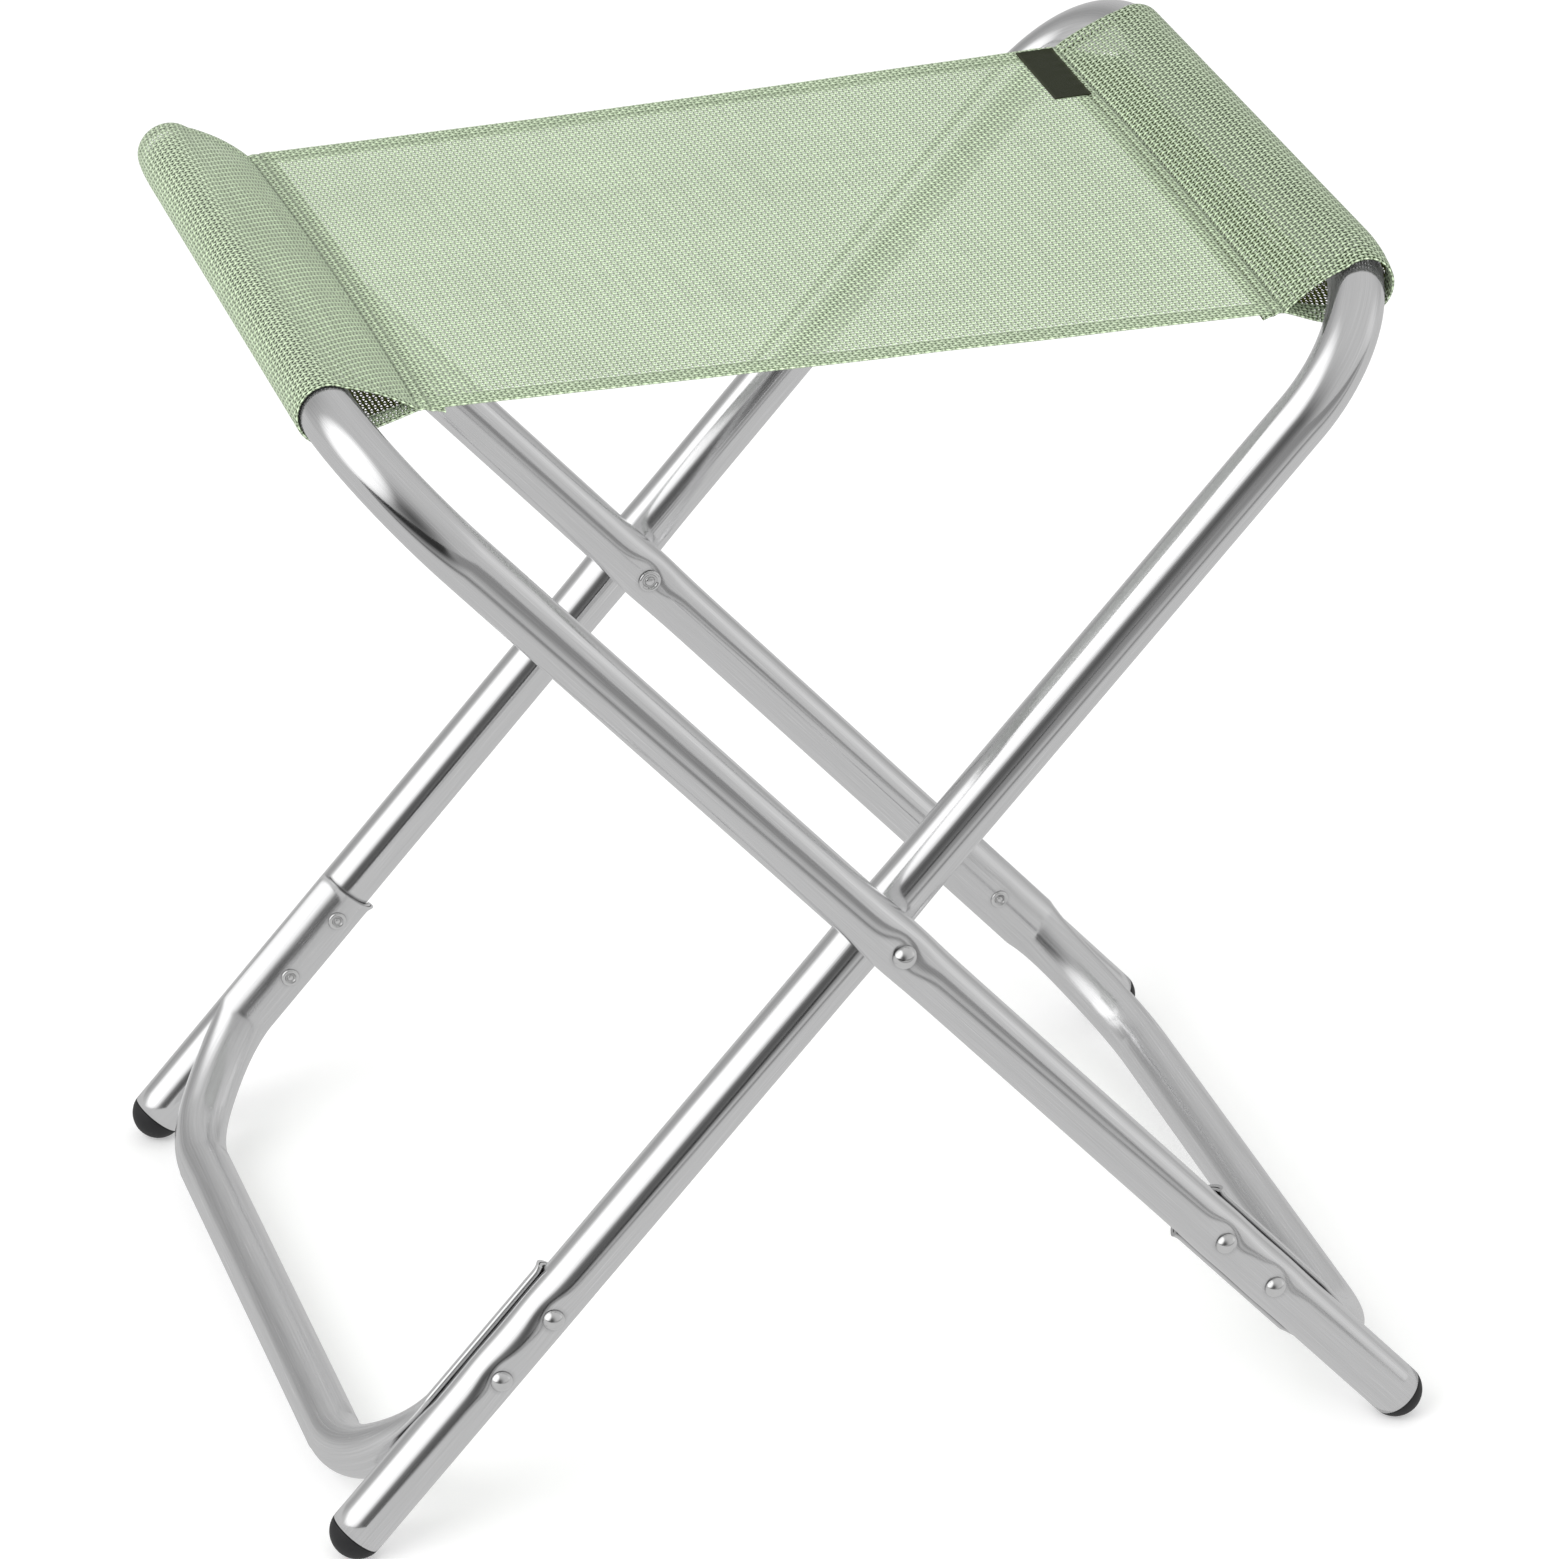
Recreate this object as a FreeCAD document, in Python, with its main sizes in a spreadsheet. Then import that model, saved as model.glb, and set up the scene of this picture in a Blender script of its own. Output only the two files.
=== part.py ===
import FreeCAD, Part
import math
import os

import Sketcher
from FreeCAD import Placement, Rotation, Vector

# Folding camp stool: two crossing bent-tube frames and a mesh seat, standing open.
# Stool frame: origin on the floor under the crossing point, +X across the seat
# (from sleeve to sleeve), +Y towards the rear of the stool, +Z up.
# Frame A has its crossbar at the left (-X) and its feet at the right (+X).
# Frame B is the same bent tube set, turned half a turn about Z.
# Each frame is modelled in its own working frame: X along the legs towards the
# feet, Y as in the stool, Z square to the plane of the legs, origin on the pivot axis.

doc = FreeCAD.newDocument("camp_stool")

# alias, value (mm or degrees), note
DIMENSIONS = [
    ("tube_radius", 10.0, "outer radius of every tube"),
    ("tube_wall", 1.2, "wall of every tube"),
    ("leg_incline", 48.25, "degrees between a leg and the floor, stool open"),
    ("pivot_height", 225.625, "height of the pivot axis above the floor"),
    ("leg_foot", 290.0, "pivot axis to the cut end of a leg tube, along the leg"),
    ("leg_top", 277.2, "pivot axis to the centreline of the upper crossbar"),
    ("leg_spacing", 311.0, "centre distance between the two legs of a frame"),
    ("frame_shift", 10.7, "sideways shift of each frame from the middle"),
    ("top_bend", 50.0, "centreline bend radius under the seat"),
    ("bar_reach", 280.6, "pivot axis to the centreline of the floor bar"),
    ("bar_inset", 13.0, "leg axis to the floor bar arm's centreline"),
    ("bar_bend", 43.0, "centreline bend radius of the floor bar"),
    ("round_angle", 31.0, "degrees round the bend where the bar is fully round"),
    ("saddle_start", 172.0, "pivot axis to the end of the crushed saddle"),
    ("saddle_end", 233.0, "pivot axis to where the saddle starts to open out"),
    ("saddle_gap", 0.05, "fit of the saddle on the leg"),
    ("saddle_half_angle", 76.0, "degrees of wrap to each side"),
    ("lower_rivet", 211.5, "pivot axis to the lower bar rivet"),
    ("upper_rivet", 182.5, "pivot axis to the upper bar rivet"),
    ("rivet_radius", 2.4, "bar rivet shank"),
    ("rivet_head_radius", 4.0, "bar rivet head"),
    ("rivet_head_rise", 2.1, "bar rivet head above the tube"),
    ("pin_radius", 3.0, "pivot rivet shank"),
    ("pin_head_radius", 4.4, "pivot rivet head"),
    ("pin_head_rise", 2.6, "pivot rivet head above the tube"),
    ("roll_radius", 1.1, "rolled rim on the tail of a rivet"),
    ("fixed_gap", 0.02, "radial gap where a rivet is set tight"),
    ("running_gap", 0.06, "radial gap where a frame turns on its pivot rivet"),
    ("washer_radius", 7.0, "spacer washer between the crossing tubes"),
    ("washer_thick", 1.3, "spacer washer"),
    ("plug_length", 16.0, "part of a foot plug inside the tube"),
    ("plug_dome", 9.0, "part of a foot plug below the tube"),
    ("plug_fit", 0.04, "radial gap of the plug in the tube"),
    ("seat_depth", 242.0, "front hem to rear hem"),
    ("seat_drop", 5.05, "seat cloth below the crossbar axes"),
    ("cloth_thick", 1.2, "mesh cloth"),
    ("seam_x", 153.5, "middle of the seat to each sleeve seam"),
    ("sleeve_gap", 0.6, "slack of the sleeve round the tube"),
    ("sleeve_slack", 9.6, "slack of the sleeve along the leg, to clear the bends"),
    ("seam_thick", 2.6, "two cloth layers at the seam"),
    ("label_wide", 14.2, "woven label"),
    ("label_long", 44.0, "woven label"),
    ("label_thick", 0.5, "woven label"),
]


class Size:
    """A value in two forms: float() gives the number to draw with, str() the sheet
    formula to bind to. Arithmetic carries both along."""

    def __init__(self, value, formula):
        self.value, self.formula = value, formula

    def __float__(self):
        return self.value

    def __str__(self):
        return self.formula

    def __add__(self, other):
        return Size(self.value + float(other), "(%s + %s)" % (self, other))

    def __sub__(self, other):
        return Size(self.value - float(other), "(%s - %s)" % (self, other))

    def __rsub__(self, other):
        return Size(float(other) - self.value, "(%s - %s)" % (other, self))

    def __mul__(self, other):
        return Size(self.value * float(other), "(%s * %s)" % (self, other))

    __rmul__ = __mul__

    def __truediv__(self, other):
        return Size(self.value / float(other), "(%s / %s)" % (self, other))

    def __neg__(self):
        return Size(-self.value, "(-%s)" % self)


def sine(degrees):
    return Size(math.sin(math.radians(float(degrees))), "sin(%s)" % degrees)


def cosine(degrees):
    return Size(math.cos(math.radians(float(degrees))), "cos(%s)" % degrees)


def arcsine(ratio):
    return Size(math.degrees(math.asin(float(ratio))), "asin(%s)" % ratio)


class Dimensions:
    """The driving dimensions, one attribute per sheet alias."""


dims = Dimensions()
sheet = doc.addObject("Spreadsheet::Sheet", "Sizes")
for row, (alias, value, note) in enumerate(DIMENSIONS, 1):
    sheet.set("A%d" % row, note)
    sheet.set("B%d" % row, str(value))
    sheet.setAlias("B%d" % row, alias)
    setattr(dims, alias, Size(value, "Sizes." + alias))
doc.recompute()

TUBE_BORE = dims.tube_radius - dims.tube_wall
SADDLE_INSIDE = dims.tube_radius + dims.saddle_gap
SADDLE_OUTSIDE = SADDLE_INSIDE + 2 * dims.tube_wall
# Y of a frame's two leg axes: the outer leg lies outside the other frame's leg
OUTER_Y = -(dims.leg_spacing / 2 + dims.frame_shift)
INNER_Y = dims.leg_spacing / 2 - dims.frame_shift

TILT = Placement(
    Vector(0, 0, float(dims.pivot_height)),
    Rotation(Vector(0, 1, 0), float(dims.leg_incline)),
)
HALF_TURN = Placement(Vector(0, 0, 0), Rotation(Vector(0, 0, 1), 180))
FRAMES = {"a": TILT, "b": HALF_TURN.multiply(TILT)}


# ---- Sketch and feature helpers ----

# Sketcher's numbers for the points of an edge and for its own axes
START, END, CENTRE = 1, 2, 3
X_AXIS, Y_AXIS = -1, -2
ORIGIN = (-1, 1)


def new_body(name, label):
    body = doc.addObject("PartDesign::Body", name)
    body.Label = label
    return body


def sketch(body, name, role, offset=None, turn=Rotation()):
    """A sketch on one of the body's origin planes. offset maps the plane's own
    axes to bound sizes."""
    offset = offset or {}
    sk = body.newObject("Sketcher::SketchObject", name)
    origin_plane = next(f for f in body.Origin.OriginFeatures if f.Role == role)
    sk.AttachmentSupport = [(origin_plane, "")]
    sk.MapMode = "FlatFace"
    base = Vector(*(float(offset.get(axis, 0)) for axis in "xyz"))
    sk.AttachmentOffset = Placement(base, turn)
    for axis, size in offset.items():
        sk.setExpression("AttachmentOffset.Base." + axis, str(size))
    return sk


def tie(sk, kind, *refs):
    sk.addConstraint(Sketcher.Constraint(kind, *refs))


def bound(sk, kind, size, *refs):
    """A dimension of the sketch, bound to the sheet."""
    i = sk.addConstraint(Sketcher.Constraint(kind, *refs, float(size)))
    sk.setExpression("Constraints[%d]" % i, str(size))


def pin_x(sk, edge, point, x):
    bound(sk, "DistanceX", x, *ORIGIN, edge, point)


def pin_y(sk, edge, point, y):
    bound(sk, "DistanceY", y, *ORIGIN, edge, point)


def pin(sk, edge, point, x, y):
    pin_x(sk, edge, point, x)
    pin_y(sk, edge, point, y)


def line(sk, start, end):
    points = [Vector(float(x), float(y), 0) for x, y in (start, end)]
    return sk.addGeometry(Part.LineSegment(*points), False)


def arc(sk, x, y, radius, start_angle, end_angle):
    full = Part.Circle(Vector(float(x), float(y), 0), Vector(0, 0, 1), float(radius))
    start, end = math.radians(start_angle), math.radians(end_angle)
    return sk.addGeometry(Part.ArcOfCircle(full, start, end), False)


def circle(sk, radius, x=None):
    """A circle at the sketch origin, or at x along the sketch's X axis."""
    centre = Vector(0 if x is None else float(x), 0, 0)
    edge = sk.addGeometry(Part.Circle(centre, Vector(0, 0, 1), float(radius)), False)
    if x is None:
        tie(sk, "Coincident", edge, CENTRE, *ORIGIN)
    else:
        tie(sk, "PointOnObject", edge, CENTRE, X_AXIS)
        pin_x(sk, edge, CENTRE, x)
    bound(sk, "Radius", radius, edge)


def polar(radius, degrees, centre=(0, 0)):
    angle = math.radians(degrees)
    return (
        centre[0] + float(radius) * math.cos(angle),
        centre[1] + float(radius) * math.sin(angle),
    )


def pad_both_ways(body, name, profile, length):
    pad = body.newObject("PartDesign::Pad", name)
    pad.Profile = profile
    pad.SideType = "Symmetric"
    pad.setExpression("Length", str(length))


def pocket(body, name, profile, length=None):
    """Cuts the sketch both ways, through everything or over a bound length."""
    before = body.Shape.Volume
    cut = body.newObject("PartDesign::Pocket", name)
    cut.Profile = profile
    cut.SideType = "Symmetric"
    if length is None:
        cut.Type = "ThroughAll"
    else:
        cut.Type = "Length"
        cut.setExpression("Length", str(length))
    doc.recompute()
    if not body.Shape.Volume < before - 1e-3:
        raise RuntimeError(name + " cut nothing")


def tube_along(body, name, ring, path, edge_count):
    """Sweeps the tube's hollow section along the path."""
    circle(ring, dims.tube_radius)
    circle(ring, TUBE_BORE)
    pipe = body.newObject("PartDesign::AdditivePipe", name)
    pipe.Profile = ring
    pipe.Spine = (path, ["Edge%d" % (i + 1) for i in range(edge_count)])
    doc.recompute()


def bar_rivet_holes(body, part, key):
    """Two holes across the frame, where the floor bar is riveted to the legs."""
    sk = sketch(body, "%sRivetSketch_%s" % (part, key), "XZ_Plane")
    for x in (dims.upper_rivet, dims.lower_rivet):
        circle(sk, dims.rivet_radius + dims.fixed_gap, x)
    pocket(body, "%sRivetHoles_%s" % (part, key), sk)


# ---- Leg frame ----


def leg_frame(key):
    """One tube bent into a U: two straight legs joined under the seat."""
    body = new_body("LegFrame_" + key, "leg_frame_" + key)
    bend, foot = dims.top_bend, dims.leg_foot
    crossbar_x = -dims.leg_top
    bend_x = bend - dims.leg_top

    path = sketch(body, "LegPath_" + key, "XY_Plane")
    outer_leg = line(path, (foot, OUTER_Y), (bend_x, OUTER_Y))
    outer_bend = arc(path, bend_x, OUTER_Y + bend, bend, 180, 270)
    crossbar = line(path, (crossbar_x, OUTER_Y + bend), (crossbar_x, INNER_Y - bend))
    inner_bend = arc(path, bend_x, INNER_Y - bend, bend, 90, 180)
    inner_leg = line(path, (bend_x, INNER_Y), (foot, INNER_Y))
    tie(path, "Tangent", outer_leg, END, outer_bend, END)
    tie(path, "Tangent", outer_bend, START, crossbar, START)
    tie(path, "Tangent", crossbar, END, inner_bend, END)
    tie(path, "Tangent", inner_bend, START, inner_leg, START)
    tie(path, "Horizontal", outer_leg)
    tie(path, "Horizontal", inner_leg)
    tie(path, "Vertical", crossbar)
    pin(path, outer_leg, START, foot, OUTER_Y)
    pin(path, inner_leg, END, foot, INNER_Y)
    bound(path, "Radius", bend, outer_bend)
    bound(path, "Radius", bend, inner_bend)
    pin_x(path, crossbar, START, crossbar_x)

    ring = sketch(body, "LegSection_" + key, "YZ_Plane", {"x": OUTER_Y, "z": foot})
    tube_along(body, "LegTube_" + key, ring, path, 5)

    # pivot holes: tight on this frame's own rivet, running on the other one
    for name, leg_y, gap in (
        ("Fixed", OUTER_Y, dims.fixed_gap),
        ("Running", INNER_Y, dims.running_gap),
    ):
        sk = sketch(body, "%sPivotSketch_%s" % (name, key), "XZ_Plane", {"z": -leg_y})
        circle(sk, dims.pin_radius + gap)
        pocket(body, "%sPivotHole_%s" % (name, key), sk, dims.tube_radius * 3)
    bar_rivet_holes(body, "Leg", key)
    return body


# ---- Floor bar ----
# side is +1 at the outer leg, where inward is +Y, and -1 at the inner leg.

# where the bar becomes fully round: along the legs, and inward from the leg axis
ROUND_X = dims.bar_reach - dims.bar_bend * (1 - sine(dims.round_angle))
ROUND_INSET = dims.bar_inset + dims.bar_bend * (1 - cosine(dims.round_angle))


def saddle_section(body, name, x, leg_y, side):
    """Section of the crushed saddle: two tube walls flattened together and wrapped
    round the inner side of the leg."""
    sk = sketch(body, name, "YZ_Plane", {"x": leg_y, "z": x})
    inward = 0 if side > 0 else 180
    wrap = float(dims.saddle_half_angle)
    angles = (inward - wrap, inward + wrap)
    outside = arc(sk, 0, 0, SADDLE_OUTSIDE, *angles)
    inside = arc(sk, 0, 0, SADDLE_INSIDE, *angles)
    ends = [line(sk, polar(SADDLE_INSIDE, a), polar(SADDLE_OUTSIDE, a)) for a in angles]
    tie(sk, "Coincident", outside, CENTRE, *ORIGIN)
    tie(sk, "Coincident", inside, CENTRE, *ORIGIN)
    for end, point in zip(ends, (START, END)):
        tie(sk, "Coincident", end, START, inside, point)
        tie(sk, "Coincident", end, END, outside, point)
    low, high = (START, END) if side > 0 else (END, START)
    for edge, radius in ((inside, SADDLE_INSIDE), (outside, SADDLE_OUTSIDE)):
        bound(sk, "Radius", radius, edge)
        # the corners stay symmetric about the plane of the legs
        tie(sk, "Vertical", edge, START, edge, END)
        height = 2 * radius * sine(dims.saddle_half_angle)
        bound(sk, "DistanceY", height, edge, low, edge, high)
    return sk


def round_plane(body, name, leg_y, side):
    """An empty sketch square to the bar where it becomes fully round."""
    inset = ROUND_INSET if side > 0 else -ROUND_INSET
    turn = Rotation(Vector(0, 1, 0), side * float(dims.round_angle))
    return sketch(body, name, "YZ_Plane", {"x": leg_y + inset, "z": ROUND_X}, turn)


def round_section(body, name, leg_y, side):
    """The full round as four arcs, matching the saddle section's four edges."""
    sk = round_plane(body, name, leg_y, side)
    radius = dims.tube_radius
    inward = 0 if side > 0 else 180
    split = 78  # degrees from inward to the first joint between arcs
    joints = [inward + a for a in (-split, split, 180 - split, 180 + split, 360 - split)]
    arcs = [arc(sk, 0, 0, radius, joints[i], joints[i + 1]) for i in range(4)]
    tie(sk, "Coincident", arcs[0], CENTRE, *ORIGIN)
    for i in range(4):
        tie(sk, "Coincident", arcs[i], END, arcs[(i + 1) % 4], START)
    bound(sk, "Radius", radius, arcs[0])
    for edge in arcs[1:]:
        tie(sk, "Coincident", edge, CENTRE, arcs[0], CENTRE)
    tie(sk, "Vertical", arcs[0], START, arcs[0], END)
    tie(sk, "Vertical", arcs[2], START, arcs[2], END)
    tie(sk, "Horizontal", arcs[1], START, arcs[1], END)
    joint_x = radius * cosine(split)
    pin_x(sk, arcs[0], START, joint_x if side > 0 else -joint_x)
    return sk


def floor_bar(key):
    """The lower U-shaped tube. Its ends are crushed into saddles that hug the inner
    side of each leg; between them it is a round tube, bent across the feet."""
    body = new_body("FloorBar_" + key, "floor_bar_" + key)
    bend = dims.bar_bend
    bend_x = dims.bar_reach - bend
    outer_bend_y = OUTER_Y + dims.bar_inset + bend
    inner_bend_y = INNER_Y - dims.bar_inset - bend
    round_angle = float(dims.round_angle)

    # round middle: arc, crossbar, arc, in the plane of the legs
    path = sketch(body, "BarPath_" + key, "XY_Plane")
    outer_bend = arc(path, bend_x, outer_bend_y, bend, round_angle - 90, 0)
    crossbar = line(path, (dims.bar_reach, outer_bend_y), (dims.bar_reach, inner_bend_y))
    inner_bend = arc(path, bend_x, inner_bend_y, bend, 0, 90 - round_angle)
    tie(path, "Tangent", outer_bend, END, crossbar, START)
    tie(path, "Tangent", crossbar, END, inner_bend, START)
    tie(path, "Vertical", crossbar)
    bound(path, "Radius", bend, outer_bend)
    bound(path, "Radius", bend, inner_bend)
    pin(path, outer_bend, CENTRE, bend_x, outer_bend_y)
    pin_y(path, inner_bend, CENTRE, inner_bend_y)
    pin_x(path, outer_bend, START, ROUND_X)
    pin_x(path, inner_bend, END, ROUND_X)

    ring = round_plane(body, "BarSection_" + key, OUTER_Y, 1)
    tube_along(body, "BarTube_" + key, ring, path, 3)

    for side, tag, leg_y in ((1, "Out", OUTER_Y), (-1, "In", INNER_Y)):
        suffix = "%s_%s" % (tag, key)
        saddle = body_saddle = saddle_section(
            body, "SaddleEnd" + suffix, dims.saddle_start, leg_y, side
        )
        pad = body.newObject("PartDesign::Pad", "Saddle" + suffix)
        pad.Profile = saddle
        pad.setExpression("Length", str(dims.saddle_end - dims.saddle_start))
        # the flare joins the flattened end to the round tube
        near = saddle_section(body, "SaddleOpen" + suffix, dims.saddle_end, leg_y, side)
        far = round_section(body, "BarRound" + suffix, leg_y, side)
        flare = body.newObject("PartDesign::AdditiveLoft", "Flare" + suffix)
        flare.Profile = near
        flare.Sections = [far]
        flare.Ruled = False
        doc.recompute()

    bar_rivet_holes(body, "Bar", key)
    return body


# ---- Foot plug ----


def foot_plug(key, tag, leg_y):
    """Moulded plug: a stem pressed into the tube and a domed foot."""
    suffix = "%s_%s" % (key, tag)
    body = new_body("FootPlug_" + suffix, "foot_plug_" + suffix)
    radius, dome = float(dims.tube_radius), float(dims.plug_dome)
    stem_radius = TUBE_BORE - dims.plug_fit
    stem_end = -dims.plug_length
    bevel = 1.5

    # half profile above the plug's axis, from the stem's end to the rim of the dome
    place = {"x": dims.leg_foot, "y": leg_y}
    sk = sketch(body, "PlugProfile_" + suffix, "XY_Plane", place)
    points = [
        (stem_end, 0),
        (stem_end, stem_radius - bevel),
        (stem_end + bevel, stem_radius),
        (0, stem_radius),
        (0, radius),
    ]
    end_face, chamfer, stem, shoulder = [
        line(sk, points[i], points[i + 1]) for i in range(4)
    ]
    # the dome leaves the tube nearly flush and closes on the axis
    dome_radius = (radius**2 + dome**2) / (2 * dome)
    rim_angle = math.degrees(math.atan2(radius, dome_radius - dome))
    cap = arc(sk, dome - dome_radius, 0, dome_radius, 0, rim_angle)
    axis = line(sk, (dome, 0), (stem_end, 0))
    tie(sk, "Coincident", end_face, END, chamfer, START)
    tie(sk, "Coincident", chamfer, END, stem, START)
    tie(sk, "Coincident", stem, END, shoulder, START)
    tie(sk, "Coincident", shoulder, END, cap, END)
    tie(sk, "Coincident", cap, START, axis, START)
    tie(sk, "Coincident", axis, END, end_face, START)
    tie(sk, "Vertical", end_face)
    tie(sk, "Horizontal", stem)
    tie(sk, "Vertical", shoulder)
    tie(sk, "PointOnObject", axis, START, X_AXIS)
    tie(sk, "PointOnObject", axis, END, X_AXIS)
    tie(sk, "PointOnObject", cap, CENTRE, X_AXIS)
    tie(sk, "PointOnObject", shoulder, START, Y_AXIS)
    pin_x(sk, axis, END, stem_end)
    pin_x(sk, axis, START, dims.plug_dome)
    pin_y(sk, shoulder, START, stem_radius)
    pin_y(sk, shoulder, END, dims.tube_radius)
    tie(sk, "DistanceX", chamfer, START, chamfer, END, bevel)
    tie(sk, "DistanceY", chamfer, START, chamfer, END, bevel)

    turned = body.newObject("PartDesign::Revolution", "PlugTurned_" + suffix)
    turned.Profile = sk
    turned.ReferenceAxis = (sk, ["H_Axis"])
    turned.Angle = 360
    doc.recompute()
    return body


# ---- Rivets and washers ----


def primitive(kind, name, at=None, place=None, **sizes):
    """A Part primitive. at maps axes to bound positions; a property given as a Size
    is bound to the sheet, a plain number is fixed."""
    solid = doc.addObject(kind, name)
    if place is not None:
        solid.Placement = place
    for prop, size in sizes.items():
        if isinstance(size, Size):
            solid.setExpression(prop, str(size))
        else:
            setattr(solid, prop, size)
    for axis, size in (at or {}).items():
        solid.setExpression("Placement.Base." + axis, str(size))
    return solid


def fuse(name, shapes):
    joined = doc.addObject("Part::MultiFuse", name)
    joined.Shapes = shapes
    return joined


def cut(name, base, tool):
    remainder = doc.addObject("Part::Cut", name)
    remainder.Base, remainder.Tool = base, tool
    return remainder


CUTTER_LENGTH = 40
ALONG_X = Placement(Vector(-CUTTER_LENGTH / 2, 0, 0), Rotation(Vector(0, 1, 0), 90))
HEAD_SKIRT = 1.2  # straight rim of a rivet head, below the top of the tube
STEM_IN_HEAD = 1.0  # stem above the top of the tube
STEM_IN_TAIL = 1.1  # stem beyond the clamped surface at the tail
BORE_HEIGHT = 8
BORE_BELOW = 4  # start of the bore cutter, beyond the clamped surface


def rivet(name, head_reach, tail_reach, shank, head_radius, head_rise, on_saddle):
    """A domed tubular rivet on the Z axis of its own frame, head up, with the tube
    it sits on lying along X. The reaches run from the origin to the surfaces it
    clamps. on_saddle shapes the tail to a saddle instead of trimming it flat."""
    # head: a cap whose underside is shaped to the round tube
    cap_radius = (head_radius * head_radius + head_rise * head_rise) / (2 * head_rise)
    cap = primitive(
        "Part::Sphere",
        name + "_cap",
        at={"z": head_reach + head_rise - cap_radius},
        Radius=cap_radius,
        Angle1=arcsine((cap_radius - head_rise) / cap_radius),
    )
    rim = primitive(
        "Part::Cylinder",
        name + "_rim",
        at={"z": head_reach - HEAD_SKIRT},
        Radius=head_radius,
        Height=HEAD_SKIRT,
    )
    tube = primitive(
        "Part::Cylinder",
        name + "_tube",
        at={"z": head_reach - dims.tube_radius},
        place=ALONG_X,
        Radius=dims.tube_radius + dims.fixed_gap,
        Height=CUTTER_LENGTH,
    )
    head = cut(name + "_head", fuse(name + "_blank", [cap, rim]), tube)

    # tail: the tube end rolled back on itself, trimmed where it meets the metal
    roll = primitive(
        "Part::Torus",
        name + "_roll",
        at={"z": -tail_reach - dims.roll_radius * 0.6},
        Radius1=shank - 0.1,
        Radius2=dims.roll_radius,
    )
    if on_saddle:
        trim = primitive(
            "Part::Cylinder",
            name + "_trim",
            place=ALONG_X,
            Radius=tail_reach + 0.02,
            Height=CUTTER_LENGTH,
        )
    else:
        trim = primitive(
            "Part::Cylinder",
            name + "_trim",
            at={"z": -tail_reach - 0.06},
            Radius=9,
            Height=6,
        )
    tail = cut(name + "_tail", roll, trim)

    stem = primitive(
        "Part::Cylinder",
        name + "_stem",
        at={"z": -tail_reach - STEM_IN_TAIL},
        Radius=shank,
        Height=head_reach + tail_reach + STEM_IN_HEAD + STEM_IN_TAIL,
    )
    bore = primitive(
        "Part::Cylinder",
        name + "_bore",
        at={"z": -tail_reach - BORE_BELOW},
        Radius=shank * 0.58,
        Height=BORE_HEIGHT,
    )
    whole = cut(name, fuse(name + "_solid", [head, stem, tail]), bore)
    whole.Label = name
    return whole


HEAD_TO_FRONT = Rotation(Vector(1, 0, 0), 90)  # head towards -Y
HEAD_TO_REAR = Rotation(Vector(1, 0, 0), -90)  # head towards +Y


def bar_rivet(name, frame, x, leg_y):
    """Holds a saddle of the floor bar to a leg, its head on the leg's far side."""
    solid = rivet(
        name,
        head_reach=dims.tube_radius,
        tail_reach=SADDLE_OUTSIDE,
        shank=dims.rivet_radius,
        head_radius=dims.rivet_head_radius,
        head_rise=dims.rivet_head_rise,
        on_saddle=True,
    )
    turn = HEAD_TO_FRONT if float(leg_y) < 0 else HEAD_TO_REAR
    place = Placement(Vector(float(x), float(leg_y), 0), turn)
    solid.Placement = frame.multiply(place)
    return solid


def pivot_rivet(frame, end):
    """Headed on this frame's outer leg, rolled inside the other frame's leg. Its
    origin is midway between the two legs it joins."""
    reach = dims.frame_shift + dims.tube_radius
    solid = rivet(
        "pivot_rivet_" + end,
        head_reach=reach,
        tail_reach=reach,
        shank=dims.pin_radius,
        head_radius=dims.pin_head_radius,
        head_rise=dims.pin_head_rise,
        on_saddle=False,
    )
    place = Placement(Vector(0, -float(dims.leg_spacing) / 2, 0), HEAD_TO_FRONT)
    solid.Placement = frame.multiply(place)
    return solid


def pivot_washer(key, end):
    body = new_body("PivotWasher_" + key, "pivot_washer_" + end)
    sk = sketch(body, "WasherSketch_" + key, "XZ_Plane", {"z": dims.leg_spacing / 2})
    circle(sk, dims.washer_radius)
    circle(sk, dims.pin_radius + dims.running_gap)
    pad_both_ways(body, "Washer_" + key, sk, dims.washer_thick)
    return body


def frame_parts(key, frame):
    """All the metal and plastic pieces that belong to one frame."""
    # frame A's outer leg is at the front of the stool and frame B's at the rear
    outer, inner = ("front", "rear") if key == "a" else ("rear", "front")
    legs = ((outer, OUTER_Y), (inner, INNER_Y))
    bodies = [leg_frame(key), floor_bar(key)]
    bodies += [foot_plug(key, tag, leg_y) for tag, leg_y in legs]
    bodies.append(pivot_washer(key, outer))
    for body in bodies:
        body.Placement = frame
    rivets = [
        bar_rivet("bar_rivet_%s_%s_%s" % (key, tag, level), frame, x, leg_y)
        for tag, leg_y in legs
        for level, x in (("upper", dims.upper_rivet), ("lower", dims.lower_rivet))
    ]
    return bodies + rivets + [pivot_rivet(frame, outer)]


# ---- Seat ----
# One length of mesh cloth, its ends folded round the crossbars and sewn. It is
# drawn in two halves, which meet in the middle, so each half can swing on its own
# crossbar when the stool folds. Each half is drawn for the left side, with its
# origin on the crossbar axis.

BAR_X = dims.leg_top * cosine(dims.leg_incline)
BAR_Z = dims.pivot_height + dims.leg_top * sine(dims.leg_incline)
SEAM_FROM_BAR = BAR_X - dims.seam_x


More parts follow.
